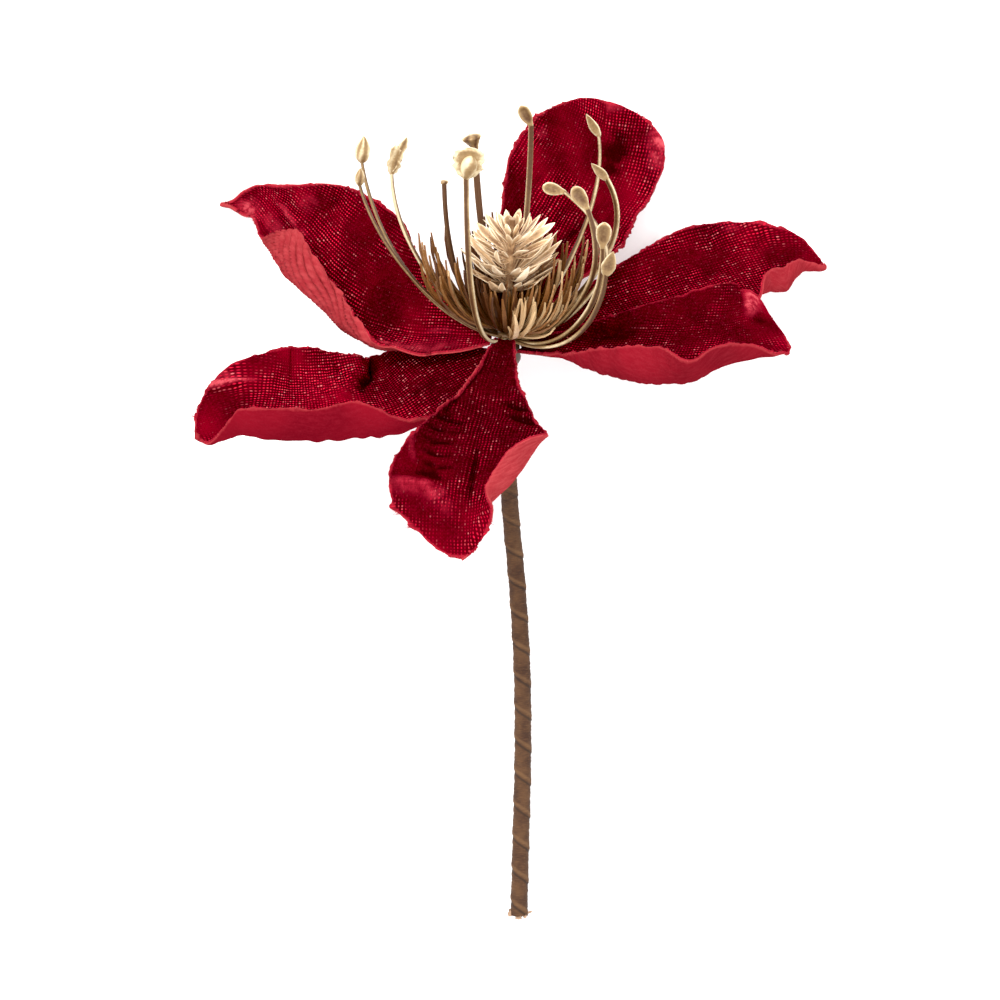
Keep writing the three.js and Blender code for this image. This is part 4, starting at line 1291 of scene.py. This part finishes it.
def make_tape(look):
    """The stem's tape as one wound tube, a seam at each turn."""
    _, length = along_curve(stem_path(), [1])
    taped = length - TAPE_SHORT
    share = np.linspace(0, taped / length, TAPE_RINGS + 1)
    centre, _ = along_curve(stem_path(), share)
    tangent = unit(np.gradient(centre, axis=0))
    side = unit(np.cross(tangent, [0.0, 0.0, 1.0]))
    top = np.cross(side, tangent)
    piece, column, ring = cloth_piece("tape_wrap", TAPE_SIDES, TAPE_RINGS)
    turn = 2 * math.pi * column / TAPE_SIDES
    distance = share[ring] * length
    wound = (distance / TAPE_PITCH - column / TAPE_SIDES) % 1.0
    firm = np.clip((taped - distance) / 60, 0.25, 1)
    seam = firm * (0.2 * np.clip(1 - wound / 0.5, 0, 1) + 0.04 * np.sin(wound * 6.28 * 3))
    wrinkle = 0.05 * np.sin(distance * 4.1 + 2 * np.sin(turn * 2) + np.sin(distance * 0.7) * 3)
    radius = TAPE_RADIUS - 0.2 + seam + wrinkle
    outward = side[ring] * np.cos(turn)[:, None] + top[ring] * np.sin(turn)[:, None]
    place_corners(piece, centre[ring] + outward * radius[:, None])
    # Painted highlight on each seam's ridge and painted shade at its foot
    ridge = np.exp(-(((wound - 0.07) / 0.06) ** 2)) - np.exp(-(((wound - 0.93) / 0.06) ** 2))
    add_values(piece, "tone_and_painted_light", ridge * firm)
    map_cloth(piece, turn * TAPE_RADIUS / CLOTH_MAP, distance / CLOTH_MAP * 0.9)
    settle(piece, TABLE)
    with editing(piece):
        bpy.ops.mesh.remove_doubles(threshold=1e-6)
        bpy.ops.mesh.normals_make_consistent(inside=False)
    finish_modifier(piece, "SOLIDIFY", thickness=0.5 * MM, offset=-1.0)
    smooth(piece, 50)
    hand_over(piece, look, "stem_tape")


def make_scraps(look):
    """Frayed ends of the tape round the cut."""
    pieces = []
    for number, (place, heading, lift, half_width, length) in enumerate(SCRAPS):
        scrap = paddle("scrap", "scrap", half_width, length, seed=number, segments=12, rings=10)
        spread = corners(scrap)
        turn = math.radians(heading)
        ahead = unit(np.array([math.cos(turn), math.sin(turn), lift]))
        side = unit(np.cross(ahead, [0, 0, 1]))
        top = np.cross(side, ahead)
        curl = 0.25 * length * (spread[:, 2] / length) ** 2
        places = np.array(place) + spread[:, :1] * side + spread[:, 2:] * ahead
        place_corners(scrap, places + (spread[:, 1] + curl)[:, None] * top)
        add_values(scrap, "tone_and_painted_light", 2.2 - 0.9 * np.clip(spread[:, 0] / half_width, -1, 1) ** 2)
        pieces.append(scrap)
    scraps = joined(pieces, "tape_scraps")
    settle(scraps, TABLE)
    recalculated(scraps)
    smooth(scraps, 50)
    hand_over(scraps, look)


def make_receptacle(look):
    """The cup that the petals are glued round."""
    profile = [
        (0, -2), (1.4, -2), (1.4, RECEPTACLE_BOTTOM), (2.4, RECEPTACLE_BOTTOM), (3.2, -7.4),
        (3.8, -6.2), (3.9, -5.4), (3.7, -4.8), (3.5, -1.8), (3.2, -0.4), (2.6, 0.5),
        (1.8, RECEPTACLE_TOP), (0, RECEPTACLE_TOP),
    ]
    bpy.ops.mesh.primitive_circle_add(vertices=3, radius=1)
    piece = fresh("petal_cup")
    mesh = piece.data
    mesh.clear_geometry()
    edges = [(k, k + 1) for k in range(len(profile) - 1)]
    mesh.from_pydata([(r, 0, z) for r, z in profile], edges, [])
    with editing(piece):
        bpy.ops.mesh.spin(steps=40, angle=2 * math.pi, center=(0, 0, 0), axis=(0, 0, 1))
        bpy.ops.mesh.select_all(action="SELECT")
        bpy.ops.mesh.remove_doubles(threshold=0.001)
        bpy.ops.mesh.normals_make_consistent(inside=False)
    settle(piece, FLOWER_TILT)
    smooth(piece, 40)
    hand_over(piece, look, "receptacle")


def make_wire(look):
    """The wire keeps its CAD shape and gets its steel."""
    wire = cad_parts["stem_wire"]
    wire.data.materials.clear()
    wire.data.materials.append(look)


# Studio, in metres: the lamps have a place, a disc size, a power and a tint
WHITE_LEVEL = 0.6
BLACK_LEVEL = 0.002
SKY_STRENGTH = 0.85
LAMPS = {
    "key": ((-0.55, 0.6, 1.1), 0.5, 10.0, (1.0, 0.98, 0.95)),
    "fill": ((0.8, -0.3, 0.9), 0.8, 2.5, (0.97, 0.98, 1.0)),
    "top": ((0.0, 0.0, 1.6), 0.9, 5.0, (1.0, 1.0, 1.0)),
}
LAMPS_AIM = Vector((0, 0.02, 0.03))
CAMERA_PLACE = (-0.0037, 0.0012, 1.0394)
CAMERA_LENS = 128.6


def placed_in_scene(name, data, place):
    made = bpy.data.objects.new(name, data)
    made.location = place
    bpy.context.scene.collection.objects.link(made)
    return made


def make_studio():
    bpy.ops.mesh.primitive_plane_add(size=6)
    floor = fresh("studio_floor")
    floor.data.materials.append(studio_paper())
    scene = bpy.context.scene
    scene.world = bpy.data.worlds.new("studio")
    scene.world.use_nodes = True
    sky = scene.world.node_tree.nodes["Background"]
    sky.inputs["Color"].default_value = (1.0, 1.0, 1.0, 1.0)
    sky.inputs["Strength"].default_value = SKY_STRENGTH
    for name, (place, size, power, tint) in LAMPS.items():
        data = bpy.data.lights.new(name, "AREA")
        data.shape = "DISK"
        data.size = size
        data.energy = power
        data.color = tint
        lamp = placed_in_scene(name, data, place)
        lamp.rotation_euler = (LAMPS_AIM - lamp.location).to_track_quat("-Z", "Y").to_euler()
    lens = bpy.data.cameras.new("overhead")
    lens.sensor_width = 36.0
    lens.lens = CAMERA_LENS
    lens.clip_start = 0.05
    lens.clip_end = 20.0
    scene.camera = placed_in_scene("overhead", lens, CAMERA_PLACE)
    scene.view_settings.view_transform = "Standard"
    scene.view_settings.use_curve_mapping = True
    levels = scene.view_settings.curve_mapping
    levels.white_level = (WHITE_LEVEL,) * 3
    levels.black_level = (BLACK_LEVEL,) * 3
    levels.update()


make_petals()
make_stamens(moulded_plastic("champagne_plastic", "d8c6a2", "92764f", "54361e", 0.35))
make_needles(moulded_plastic("gold_brown_plastic", "ccac80", "88592c", "4e2c14", 0.3))
make_cone(moulded_plastic("pale_champagne_plastic", "fcecce", "d2b28a", "7c5a3e", 0.2))
make_receptacle(moulded_plastic("receptacle_plastic", "7a5c3e", "5c4228", "3a2818", 0.1))
tape_look = crepe_tape()
make_tape(tape_look)
make_scraps(tape_look)
make_wire(cut_steel())
make_studio()
